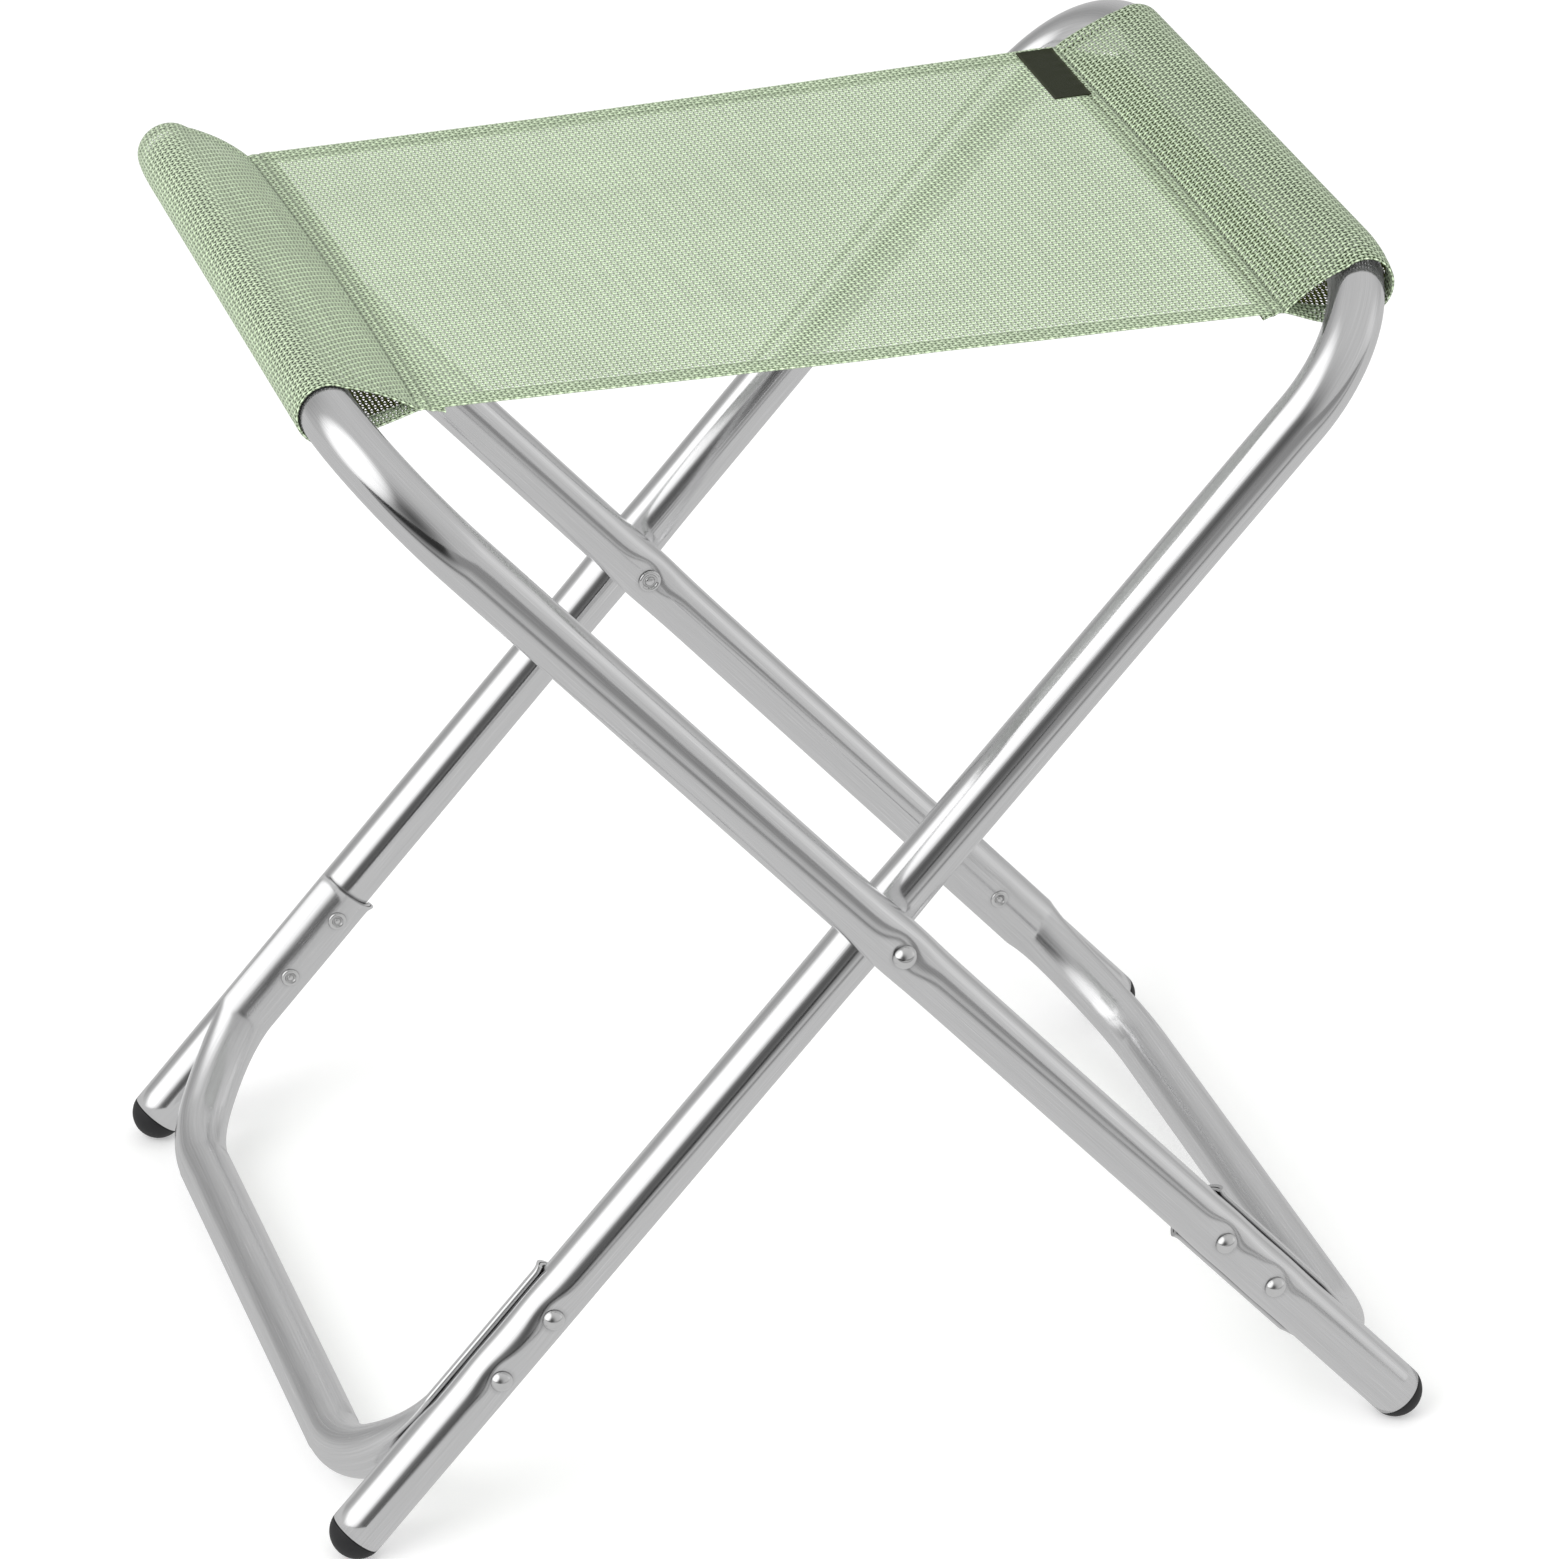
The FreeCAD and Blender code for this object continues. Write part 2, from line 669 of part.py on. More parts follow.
def tangent_angle(centre, radius, point, upper):
    """Degrees from a circle's centre to where a line from the point touches it."""
    across, up = point[0] - centre[0], point[1] - centre[1]
    spread = math.acos(radius / math.hypot(across, up))
    return math.degrees(math.atan2(up, across) + (spread if upper else -spread))


def teardrop(sk, radius, apex_x, half_height=None):
    """Teardrop outline: round the crossbar at the origin, slack along the leg, then
    drawn together on the right to a point, or to an end of the given half height."""
    drop = -dims.seat_drop
    upper_z = drop if half_height is None else drop + half_height
    lower_z = drop if half_height is None else drop - half_height
    upper_apex = (float(apex_x), float(upper_z))
    lower_apex = (float(apex_x), float(lower_z))
    incline, round_radius = float(dims.leg_incline), float(radius)
    slack_end = polar(dims.sleeve_slack, -incline)
    upper_touch = tangent_angle((0, 0), round_radius, upper_apex, True)
    lower_touch = tangent_angle(slack_end, round_radius, lower_apex, False)
    square = -incline - 90  # square to the leg, outward

    bar_arc = arc(sk, 0, 0, radius, upper_touch, square + 360)
    slack_arc = arc(sk, *slack_end, radius, square, lower_touch)
    slack_line = line(sk, polar(radius, square), polar(radius, square, slack_end))
    upper_line = line(sk, upper_apex, polar(radius, upper_touch))
    lower_line = line(sk, polar(radius, lower_touch, slack_end), lower_apex)
    tie(sk, "Coincident", bar_arc, CENTRE, *ORIGIN)
    tie(sk, "Tangent", upper_line, END, bar_arc, START)
    tie(sk, "Tangent", bar_arc, END, slack_line, START)
    tie(sk, "Tangent", slack_line, END, slack_arc, START)
    tie(sk, "Tangent", slack_arc, END, lower_line, START)
    if half_height is None:
        tie(sk, "Coincident", lower_line, END, upper_line, START)
    bound(sk, "Radius", radius, bar_arc)
    # the slack runs along the leg
    bound(sk, "Distance", dims.sleeve_slack, slack_line)
    slack_x = dims.sleeve_slack * cosine(dims.leg_incline)
    bound(sk, "DistanceX", slack_x, slack_line, START, slack_line, END)
    pin(sk, upper_line, START, apex_x, upper_z)
    if half_height is not None:
        pin(sk, lower_line, END, apex_x, lower_z)
        end = line(sk, upper_apex, lower_apex)
        tie(sk, "Coincident", end, START, upper_line, START)
        tie(sk, "Coincident", end, END, lower_line, END)


def seat_sleeve(tag):
    body = new_body("SeatSleeve_" + tag, "seat_sleeve_" + tag)
    opening_radius = dims.tube_radius + dims.sleeve_gap
    outline = sketch(body, "SleeveOutline_" + tag, "XZ_Plane")
    teardrop(
        outline, opening_radius + dims.cloth_thick, SEAM_FROM_BAR, dims.seam_thick / 2
    )
    pad_both_ways(body, "Sleeve_" + tag, outline, dims.seat_depth)
    doc.recompute()
    # the opening the crossbar passes through stops short of the seam
    seam_width = 9
    inside = sketch(body, "SleeveInside_" + tag, "XZ_Plane")
    teardrop(inside, opening_radius, SEAM_FROM_BAR - seam_width)
    pocket(body, "SleeveOpening_" + tag, inside)
    return body


def seat_panel(tag):
    """The flat cloth from above the crossbar axis to the middle of the seat."""
    body = new_body("SeatPanel_" + tag, "seat_panel_" + tag)
    sk = sketch(body, "PanelOutline_" + tag, "XY_Plane", {"z": -dims.seat_drop})
    left, right = SEAM_FROM_BAR, BAR_X
    front, rear = -dims.seat_depth / 2, dims.seat_depth / 2
    corners = [(left, front), (right, front), (right, rear), (left, rear)]
    edges = [line(sk, corners[i], corners[(i + 1) % 4]) for i in range(4)]
    for i in range(4):
        tie(sk, "Coincident", edges[i], END, edges[(i + 1) % 4], START)
    for i, direction in enumerate(("Horizontal", "Vertical") * 2):
        tie(sk, direction, edges[i])
    pin(sk, edges[0], START, left, front)
    pin(sk, edges[2], START, right, rear)
    pad_both_ways(body, "Panel_" + tag, sk, dims.cloth_thick)
    return body


def seat_half(tag, turn):
    bodies = [seat_sleeve(tag), seat_panel(tag)]
    on_bar = Placement(Vector(-float(BAR_X), 0, float(BAR_Z)), Rotation())
    for body in bodies:
        body.Placement = turn.multiply(on_bar)
    return bodies


def seat_label():
    """Plain woven label along the right seam, at the rear corner of the seat."""
    from_seam, from_hem, lift = 1.8, 3, 0.05
    cloth_top = BAR_Z - dims.seat_drop + dims.cloth_thick / 2
    label = primitive(
        "Part::Box",
        "SeatLabel",
        at={
            "x": dims.seam_x - from_seam - dims.label_wide,
            "y": dims.seat_depth / 2 - from_hem - dims.label_long,
            "z": cloth_top + lift,
        },
        Length=dims.label_wide,
        Width=dims.label_long,
        Height=dims.label_thick,
    )
    label.Label = "seat_label"
    return label


# ---- Build and export ----

parts = []
for key, frame in FRAMES.items():
    parts += frame_parts(key, frame)
parts += seat_half("left", Placement())
parts += seat_half("right", HALF_TURN)
parts.append(seat_label())
doc.recompute()

for obj in doc.Objects:
    if "Invalid" in obj.State or "Error" in obj.State:
        raise RuntimeError("%s failed: %s" % (obj.Name, obj.State))
for obj in parts:
    if obj.Shape.isNull() or not obj.Shape.isValid():
        raise RuntimeError(obj.Label + " has no valid shape")
    if len(obj.Shape.Solids) != 1:
        raise RuntimeError("%s has %d solids" % (obj.Label, len(obj.Shape.Solids)))

os.makedirs("parts", exist_ok=True)
for obj in parts:
    obj.Shape.exportStep("parts/%s.step" % obj.Label)
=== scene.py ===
"""Folding stool: two crossed U-shaped tube frames pinned together at mid leg, a floor
bar riveted between the feet of each, and a seat of open mesh cloth sewn round the
two crossbars.

+X is right, -Y is front and +Z is up; the floor is at Z = 0. Shapes are worked out in
millimetres and turned into metres when a mesh is built. Frame a has its crossbar on
the left and its feet on the right; frame b is frame a turned half round about Z.
"""
import math
from functools import partialmethod

import bmesh
import bpy
import numpy as np
from mathutils import Matrix, Vector


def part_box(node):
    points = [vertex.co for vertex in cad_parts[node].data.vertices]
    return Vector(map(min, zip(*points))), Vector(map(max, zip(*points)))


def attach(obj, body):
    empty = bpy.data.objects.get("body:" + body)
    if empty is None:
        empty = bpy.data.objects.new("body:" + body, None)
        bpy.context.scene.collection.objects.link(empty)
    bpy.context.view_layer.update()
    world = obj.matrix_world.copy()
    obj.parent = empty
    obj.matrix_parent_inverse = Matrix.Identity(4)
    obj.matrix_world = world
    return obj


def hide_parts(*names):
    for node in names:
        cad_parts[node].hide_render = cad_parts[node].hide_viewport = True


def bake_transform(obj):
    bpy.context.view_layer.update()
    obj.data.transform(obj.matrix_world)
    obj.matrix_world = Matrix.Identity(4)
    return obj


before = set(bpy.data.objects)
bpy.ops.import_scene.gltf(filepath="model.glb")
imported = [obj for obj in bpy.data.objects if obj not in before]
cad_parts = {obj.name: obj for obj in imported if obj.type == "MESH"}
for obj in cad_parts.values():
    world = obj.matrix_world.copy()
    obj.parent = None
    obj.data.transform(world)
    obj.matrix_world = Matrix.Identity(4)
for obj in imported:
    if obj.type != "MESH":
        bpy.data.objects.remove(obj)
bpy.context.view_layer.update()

# ------------------------------------------------------------------ dimensions (mm)
# Each frame is drawn flat in its own working space: origin on the pivot line, x down
# the legs, y as in the stool for frame a, z square to the frame.
LEAN = math.radians(48.25)          # slope of the legs from the floor
COS, SIN = math.cos(LEAN), math.sin(LEAN)
PIVOT_Z = 225.625
TUBE_R = 10.0
FOOT, TOP = 290.0, 277.2            # from the pivot to the open tube end, to the crossbar
OUTER_Y, INNER_Y = -166.2, 144.8    # the two legs of a frame
LEG_BEND = 50.0
PIN_Y = (OUTER_Y - INNER_Y) / 2     # midway between the legs that cross
PIN_TO_LEG = PIN_Y - OUTER_Y

# Floor bar: a crescent against the inner face of each leg, opening into a round tube
REACH, BAR_BEND = 280.6, 43.0       # from the pivot to its far run, and its bend radius
INSET = 13.0                        # its ends' axis lies this far inside the leg's
SADDLE, CREASE, FLARE = 172.0, 235.0, 38.0  # x of its ends, start and length of opening
SADDLE_IN, SADDLE_OUT = TUBE_R + 0.06, TUBE_R + 2.42    # radii about the leg's axis
SADDLE_WALL = 1.02
RIVETS = {"upper": 182.5, "lower": 211.5}
RIVET_X = tuple(RIVETS.values())
N_OUTER, N_CAP, N_INNER = 41, 9, 39     # points on each part of the bar's outline

# Seat
CROSSBAR_X, CROSSBAR_Z = TOP * COS, PIVOT_Z + TOP * SIN
SEAT_Z = CROSSBAR_Z - 5.05
CLOTH_Z = SEAT_Z + 0.52             # mid-surface of the cloth before it sags
SEAM = 153.5                        # x of the seam between panel and sleeve
HALF = 121.0                        # half the depth of the cloth
HEM = 9.0
LAP = 8.6                           # sleeve cloth lying under the panel
SHEET = 0.06                        # half thickness of the sheet that carries the weave
PLY = 0.95                          # distance between two plies laid together
SEAM_ROWS = (SEAM - 0.3, SEAM - 4.1)    # x of the rows of stitches
HEM_ROW = HALF - HEM + 1.2              # y of the hem's row of stitches
SIDES = {-1: "left", 1: "right"}


def to_world(key, points):
    """Working space of a frame -> the stool's space, mm."""
    points = np.asarray(points, float)
    x, y, z = points[..., 0], points[..., 1], points[..., 2]
    placed = np.stack([x * COS + z * SIN, y, PIVOT_Z - x * SIN + z * COS], -1)
    return placed if key == "a" else placed * np.array([-1.0, -1.0, 1.0])


# ------------------------------------------------------------------ mesh helpers
class Shell:
    """Collects vertices and faces; every grid shares vertices by index."""

    def __init__(self):
        self.points = []
        self.count = 0
        self.faces = []
        self.corner_uv = []
        self.slots = []

    def add(self, points):
        """Adds vertices and returns their indices."""
        points = np.asarray(points, float).reshape(-1, 3)
        first = self.count
        self.points.append(points)
        self.count += len(points)
        return first + np.arange(len(points))

    def keep(self, faces, corner_uv, slot):
        self.faces.append(faces)
        self.corner_uv.append(corner_uv.reshape(-1, 2))
        self.slots.append(np.full(len(faces), slot))

    def quads(self, index, uv, slot=0):
        """Faces over a grid of vertex indices."""
        index = np.asarray(index)

        def corners(grid):
            return np.stack([grid[:-1, :-1], grid[1:, :-1], grid[1:, 1:], grid[:-1, 1:]], 2)

        self.keep(corners(index).reshape(-1, 4), corners(uv), slot)

    def fan(self, centre, ring, flip=False):
        """Triangles from a centre point to a closed ring of indices."""
        hub = np.full(len(ring), self.add(centre)[0])
        following = np.roll(ring, -1)
        order = (hub, following, ring) if flip else (hub, ring, following)
        self.keep(np.stack(order, -1), np.zeros((3 * len(ring), 2)), 0)

    def build(self, name, *materials):
        vertices = np.concatenate(self.points) * 0.001
        corners = np.concatenate([faces.ravel() for faces in self.faces])
        sizes = np.concatenate([np.full(len(faces), faces.shape[1]) for faces in self.faces])
        starts = np.cumsum(sizes) - sizes
        mesh = bpy.data.meshes.new(name)
        mesh.vertices.add(len(vertices))
        mesh.vertices.foreach_set("co", vertices.astype(np.float32).ravel())
        mesh.loops.add(len(corners))
        mesh.loops.foreach_set("vertex_index", corners.astype(np.int32))
        mesh.polygons.add(len(starts))
        mesh.polygons.foreach_set("loop_start", starts.astype(np.int32))
        mesh.polygons.foreach_set("loop_total", sizes.astype(np.int32))
        slots = np.concatenate(self.slots)
        mesh.polygons.foreach_set("material_index", slots.astype(np.int32))
        layer = mesh.uv_layers.new(name="UVMap")
        uv = np.concatenate(self.corner_uv)
        layer.data.foreach_set("uv", uv.astype(np.float32).ravel())
        mesh.update(calc_edges=True)
        mesh.validate()
        mesh.polygons.foreach_set("use_smooth", np.full(len(mesh.polygons), True))
        for entry in materials:
            mesh.materials.append(entry)
        return link_object(name, mesh)


def link_object(name, data):
    obj = bpy.data.objects.new(name, data)
    bpy.context.scene.collection.objects.link(obj)
    return obj


def closed_grid(shell, rings, along, around):
    """Adds closed rings of points; returns their wrapped index grid and its UVs."""
    index = np.array([shell.add(ring) for ring in rings])
    index = np.concatenate([index, index[:, :1]], 1)
    pair = np.broadcast_arrays(np.asarray(along)[:, None], np.asarray(around)[None, :])
    return index, np.stack(pair, -1)


def sharpen(obj, degrees):
    """Edges sharper than this stay crisp."""
    obj.data.set_sharp_from_angle(angle=math.radians(degrees))


def turn_normals_out(obj):
    bpy.context.view_layer.update()
    work = bmesh.new()
    work.from_mesh(obj.data)
    bmesh.ops.recalc_face_normals(work, faces=work.faces)
    work.to_mesh(obj.data)
    work.free()


def describe(obj, piece, carrier):
    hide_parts(piece)
    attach(obj, carrier)


def smoothstep(x):
    x = np.clip(x, 0, 1)
    return x * x * (3 - 2 * x)


def lengths_along(points):
    """Distance of each point from the first, along the line."""
    steps = np.linalg.norm(np.diff(points, axis=0), axis=1)
    return np.concatenate([[0], np.cumsum(steps)])


def wave_noise(x, y, seed, scale):
    """Smooth repeatable noise, roughly -1 to 1, from a few sine waves."""
    rng = np.random.RandomState(seed)
    height = np.zeros_like(x, dtype=float)
    total = 0
    for _ in range(7):
        heading = rng.uniform(0, 2 * math.pi)
        rate = scale * rng.uniform(0.5, 2.2)
        phase = rng.uniform(0, 2 * math.pi)
        weight = 1.0 / (0.6 + rate / scale)
        run = x * math.cos(heading) + y * math.sin(heading)
        height = height + weight * np.sin(2 * math.pi * rate * run + phase)
        total += weight
    return height / total * 1.6


# ------------------------------------------------------------------ node helpers
def feed(tree, node, inputs):
    """Fills a node's inputs from numbers, colours, sockets or Values."""
    for key, source in inputs.items():
        if isinstance(source, Value):
            source = source.socket
        if isinstance(source, bpy.types.NodeSocket):
            tree.links.new(source, node.inputs[key])
        else:
            node.inputs[key].default_value = source


def add_node(tree, kind, inputs, **settings):
    node = tree.nodes.new(kind)
    for name, setting in settings.items():
        setattr(node, name, setting)
    feed(tree, node, inputs)
    return node


def add_value(tree, kind, inputs, output=0, **settings):
    return Value(tree, add_node(tree, kind, inputs, **settings).outputs[output])


class Value:
    """A number in a node tree; arithmetic on it adds math nodes."""

    def __init__(self, tree, socket):
        self.tree = tree
        self.socket = socket

    def apply(self, operation, *others):
        inputs = dict(enumerate((self,) + others))
        return add_value(self.tree, "ShaderNodeMath", inputs, operation=operation)

    __add__ = partialmethod(apply, "ADD")
    __radd__ = __add__
    __sub__ = partialmethod(apply, "SUBTRACT")
    __mul__ = partialmethod(apply, "MULTIPLY")
    __rmul__ = __mul__
    __truediv__ = partialmethod(apply, "DIVIDE")
    __neg__ = partialmethod(apply, "MULTIPLY", -1.0)
    fract = partialmethod(apply, "FRACT")
    floor = partialmethod(apply, "FLOOR")
    abs = partialmethod(apply, "ABSOLUTE")
    sqrt = partialmethod(apply, "SQRT")
    cos = partialmethod(apply, "COSINE")
    sin = partialmethod(apply, "SINE")
    exp = partialmethod(apply, "EXPONENT")
    max = partialmethod(apply, "MAXIMUM")
    min = partialmethod(apply, "MINIMUM")
    pow = partialmethod(apply, "POWER")
    lt = partialmethod(apply, "LESS_THAN")
    mod = partialmethod(apply, "FLOORED_MODULO")

    def __rsub__(self, other):
        return constant(self.tree, other) - self

    def ramp(self, start, end):
        """Smooth 0 to 1 as the value goes from start to end."""
        inputs = {"From Min": start, "From Max": end, "Value": self}
        return add_value(self.tree, "ShaderNodeMapRange", inputs, "Result",
                         interpolation_type="SMOOTHSTEP")

    def vary(self, by):
        """A 0 to 1 noise as a swing about zero."""
        return (self - 0.5) * by

    def bell(self):
        """1 where the value is zero, falling off to both sides."""
        return (-(self * self)).exp()


def constant(tree, number):
    node = tree.nodes.new("ShaderNodeValue")
    node.outputs[0].default_value = number
    return Value(tree, node.outputs[0])


def split(tree, vector):
    node = add_node(tree, "ShaderNodeSeparateXYZ", {0: vector})
    return [Value(tree, socket) for socket in node.outputs]


def uv_of(tree):
    node = add_node(tree, "ShaderNodeUVMap", {}, uv_map="UVMap")
    return split(tree, node.outputs[0])[:2]


def object_xyz(tree):
    return tree.nodes.new("ShaderNodeTexCoord").outputs["Object"]


def noise(tree, vector, scale, detail=2.0, rough=0.5):
    inputs = {"Scale": scale, "Detail": detail, "Roughness": rough, "Vector": vector}
    return add_value(tree, "ShaderNodeTexNoise", inputs)


def uv_noise(tree, uv, stretch, layer, scale=1.0, detail=2.0, rough=0.5):
    """Noise over scaled UVs; layer keeps one pattern apart from another."""
    inputs = {0: uv[0] * stretch[0], 1: uv[1] * stretch[1], 2: layer}
    vector = add_node(tree, "ShaderNodeCombineXYZ", inputs).outputs[0]
    return noise(tree, vector, scale, detail, rough)


def mix_colour(tree, factor, first, second):
    first, second = (colour + (1.0,) if isinstance(colour, tuple) else colour
                     for colour in (first, second))
    # 6, 7 and output 2 are the colour sockets
    inputs = {0: factor, 6: first, 7: second}
    return add_node(tree, "ShaderNodeMix", inputs, data_type="RGBA").outputs[2]


def scale_colour(tree, colour, factor):
    inputs = {0: colour, "Scale": factor}
    return add_node(tree, "ShaderNodeVectorMath", inputs, operation="SCALE").outputs[0]


def dot(tree, first, second):
    inputs = {0: first, 1: second}
    return add_value(tree, "ShaderNodeVectorMath", inputs, "Value", operation="DOT_PRODUCT")


def bump(tree, height, distance, strength):
    """Distance is in metres."""
    inputs = {"Distance": distance, "Strength": strength, "Height": height}
    return add_node(tree, "ShaderNodeBump", inputs).outputs[0]


def painted_contact_shade(tree, distance, low):
    """Painted shade where surfaces nearly touch: 1 in the open, low in a crevice."""
    inputs = {"Distance": distance}
    open_share = add_value(tree, "ShaderNodeAmbientOcclusion", inputs, "AO", samples=4)
    return open_share * (1.0 - low) + low


def empty_material(name):
    material = bpy.data.materials.new(name)
    material.use_nodes = True
    tree = material.node_tree
    tree.nodes.clear()
    return material, tree


def principled(name):
    """A material with its node tree, Principled shader and output."""
    material, tree = empty_material(name)
    output = tree.nodes.new("ShaderNodeOutputMaterial")
    shader = tree.nodes.new("ShaderNodeBsdfPrincipled")
    feed(tree, output, {0: shader.outputs[0]})
    return material, tree, shader, output


# ------------------------------------------------------------------ plain materials
def metal_material(name, base, rough, streak, relief):
    """Drawn aluminium: UV is millimetres along and around the tube. Streak is how far
    the drawn lines change the roughness, relief the strength of their bump."""
    material, tree, shader, _ = principled(name)
    uv = uv_of(tree)
    lines = uv_noise(tree, uv, stretch=(0.012, 1.0), layer=0.0, scale=2.6, detail=3.0, rough=0.6)
    broad = uv_noise(tree, uv, stretch=(0.004, 0.16), layer=3.1)
    soft = uv_noise(tree, uv, stretch=(0.02, 0.05), layer=7.7, detail=3.0)
    specks = uv_noise(tree, uv, stretch=(0.5, 0.9), layer=1.3, rough=0.7)
    # brightness: a mean level, lines and broad bands, slightly darker specks
    level = 0.93 + lines.vary(by=0.26) + broad.vary(by=0.12)
    level = level - specks.ramp(start=0.68, end=0.8) * 0.02
    # the strongest lines catch a little more light
    level = level + lines.ramp(start=0.60, end=0.72) * 0.08
    # painted shade in crevices and where parts nearly touch
    level = level * painted_contact_shade(tree, distance=0.0020, low=0.30)
    # roughness: lines, soft patches and specks
    roughness = rough + lines.vary(by=streak) * 2 + soft.vary(by=0.10)
    roughness = roughness + specks.ramp(start=0.62, end=0.8) * 0.05
    height = lines + broad * 1.5        # bands stand higher than lines
    feed(tree, shader, {
        "Base Color": scale_colour(tree, base, level),
        "Metallic": 1.0,
        "Roughness": roughness,
        "Normal": bump(tree, height, distance=0.00002, strength=relief),
    })
    return material


def rivet_material():
    material, tree, shader, _ = principled("rivet_aluminium")
    place = object_xyz(tree)
    grain = noise(tree, place, scale=1400.0, detail=3.0, rough=0.6)
    cloud = noise(tree, place, scale=260.0)
    # mean brightness and its cloudiness, times painted shade where the head nearly touches the
    # tube
    level = (0.9 + 0.12 * cloud) * painted_contact_shade(tree, distance=0.0022, low=0.04)
    feed(tree, shader, {
        "Base Color": scale_colour(tree, (0.90, 0.90, 0.90), level),
        "Metallic": 1.0,
        # near polished, less so in clouds and grain
        "Roughness": 0.04 + 0.05 * cloud + 0.03 * grain,
        "Normal": bump(tree, grain, distance=0.00002, strength=0.2),
    })
    return material


def plug_material():
    """Black plastic, scuffed where it meets the floor."""
    black, scuffed = (0.014, 0.014, 0.015), (0.06, 0.058, 0.054)
    material, tree, shader, _ = principled("plug_plastic")
    place = object_xyz(tree)
    grain = noise(tree, place, scale=2200.0, detail=3.0, rough=0.6)
    cloud = noise(tree, place, scale=160.0, detail=4.0, rough=0.6)
    low = 1.0 - split(tree, place)[2].ramp(start=0.0, end=0.009)    # height in metres
    scuff = low * 0.5 * cloud.ramp(start=0.45, end=0.7)     # at most half covered
    feed(tree, shader, {
        "Base Color": mix_colour(tree, scuff, black, scuffed),
        # mean roughness, its cloudiness, and more near the floor
        "Roughness": 0.46 + 0.16 * cloud + low * 0.12,
        "Specular IOR Level": 0.42,
        "Normal": bump(tree, grain + cloud * 0.6, distance=0.00005, strength=0.5),
    })
    return material


def washer_material():
    material, tree, shader, _ = principled("washer_nylon")
    cloud = noise(tree, object_xyz(tree), scale=500.0, detail=3.0)
    # both brightness and roughness are a mean level plus cloudiness
    feed(tree, shader, {
        "Base Color": scale_colour(tree, (0.55, 0.55, 0.52), 0.9 + 0.15 * cloud),
        "Roughness": 0.35 + 0.15 * cloud,
        "Normal": bump(tree, cloud, distance=0.00004, strength=0.4),
    })
    return material


def thread_material():
    """Twisted sewing thread: UV is millimetres along it and one turn around it."""
    dark, light = (0.26, 0.34, 0.21), (0.42, 0.50, 0.35)
    turns_along, turns_around = 2.6, 1.3    # turns of twist per unit of U and V
    material, tree, shader, _ = principled("stitch_thread")
    along, around = uv_of(tree)
    turns = along * turns_along + around * turns_around
    twist = (turns * 2.0 * math.pi).sin() * 0.5 + 0.5       # 0 to 1
    cloud = noise(tree, object_xyz(tree), scale=900.0)
    # painted shade: the thread is darker down the grooves of its twist and lighter on its ridges
    colour = mix_colour(tree, twist, dark, light)
    feed(tree, shader, {
        # brightness 0.85 to 1.15
        "Base Color": scale_colour(tree, colour, 0.85 + 0.3 * cloud),
        "Roughness": 0.6,
        "Sheen Weight": 0.3,
        "Normal": bump(tree, twist, distance=0.00008, strength=0.6),
    })
    return material


def checker(cell_x, cell_y):
    """0 and 1 in turn over unit cells."""
    return (cell_x.floor() + cell_y.floor()).mod(2.0)


def from_centre(cell):
    """-0.5 to 0.5 across each unit cell."""
    return cell.fract() - 0.5


def label_material():
    """Dark woven tape; UV is millimetres from its left front corner."""
    yarn_x, yarn_y = 0.32, 0.28                 # pitch of the tape's yarns, mm
    selvedges, selvedge_half = (0.0, 14.2), 0.9     # along both long edges, mm
    dark, light = (0.020, 0.025, 0.009), (0.038, 0.044, 0.020)
    material, tree, shader, _ = principled("label_tape")
    uv = uv_of(tree)
    cell_x, cell_y = uv[0] / yarn_x, uv[1] / yarn_y
    over = checker(cell_x, cell_y)
    round_x, round_y = (1.0 - (from_centre(cell).abs() * 2.0).pow(2.0)
                        for cell in (cell_x, cell_y))
    height = round_x * over + round_y * (1.0 - over)
    cloud = uv_noise(tree, uv, stretch=(0.3, 0.3), layer=0.0, detail=3.0)
    first, second = ((uv[0] - place).abs().lt(selvedge_half) for place in selvedges)
    edge = first.max(second)
    colour = mix_colour(tree, edge * 0.8, dark, light)      # selvedge is 0.8 light
    # brightness with painted shade: lowest between yarns, rising with their height, and clouded
    level = 0.7 + 0.45 * height + cloud.vary(by=0.3)
    feed(tree, shader, {
        "Base Color": scale_colour(tree, colour, level),
        "Roughness": 0.5,
        "Specular IOR Level": 0.2,
        "Normal": bump(tree, height + edge * 0.5, distance=0.00007, strength=0.7),
    })
    return material


# ------------------------------------------------------------------ seat cloth material
YARN_PITCH = 1.85                       # both ways, mm
YARN_HALF_WIDTH, YARN_HALF_THICK = 0.44, 0.27
CRIMP = 0.24                            # how far a yarn weaves up and down
WEAVE_DEPTH = 2 * (YARN_HALF_THICK + CRIMP)
# Levels of the weave from the top down: depth as a share of the weave's, gain added
# to yarns that run along U (painted light on their sides that face the front), gain
# of all yarns (painted shade per level), darkening on the right sleeve (painted shade)
WEAVE_LEVELS = [
    (0.08, 0.12, 0.93, 0.06),
    (0.29, 0.16, 0.92, 0.12),
    (0.50, 0.36, 0.88, 0.24),
    (0.71, 0.36, 0.86, 0.55),
    (0.92, 0.20, 0.90, 0.70),
]
CLOTH_GAIN = 1.0                        # overall brightness
SHADOW_TINT = (0.62, 0.80, 0.50)        # the cloth's colour in shade, as a share


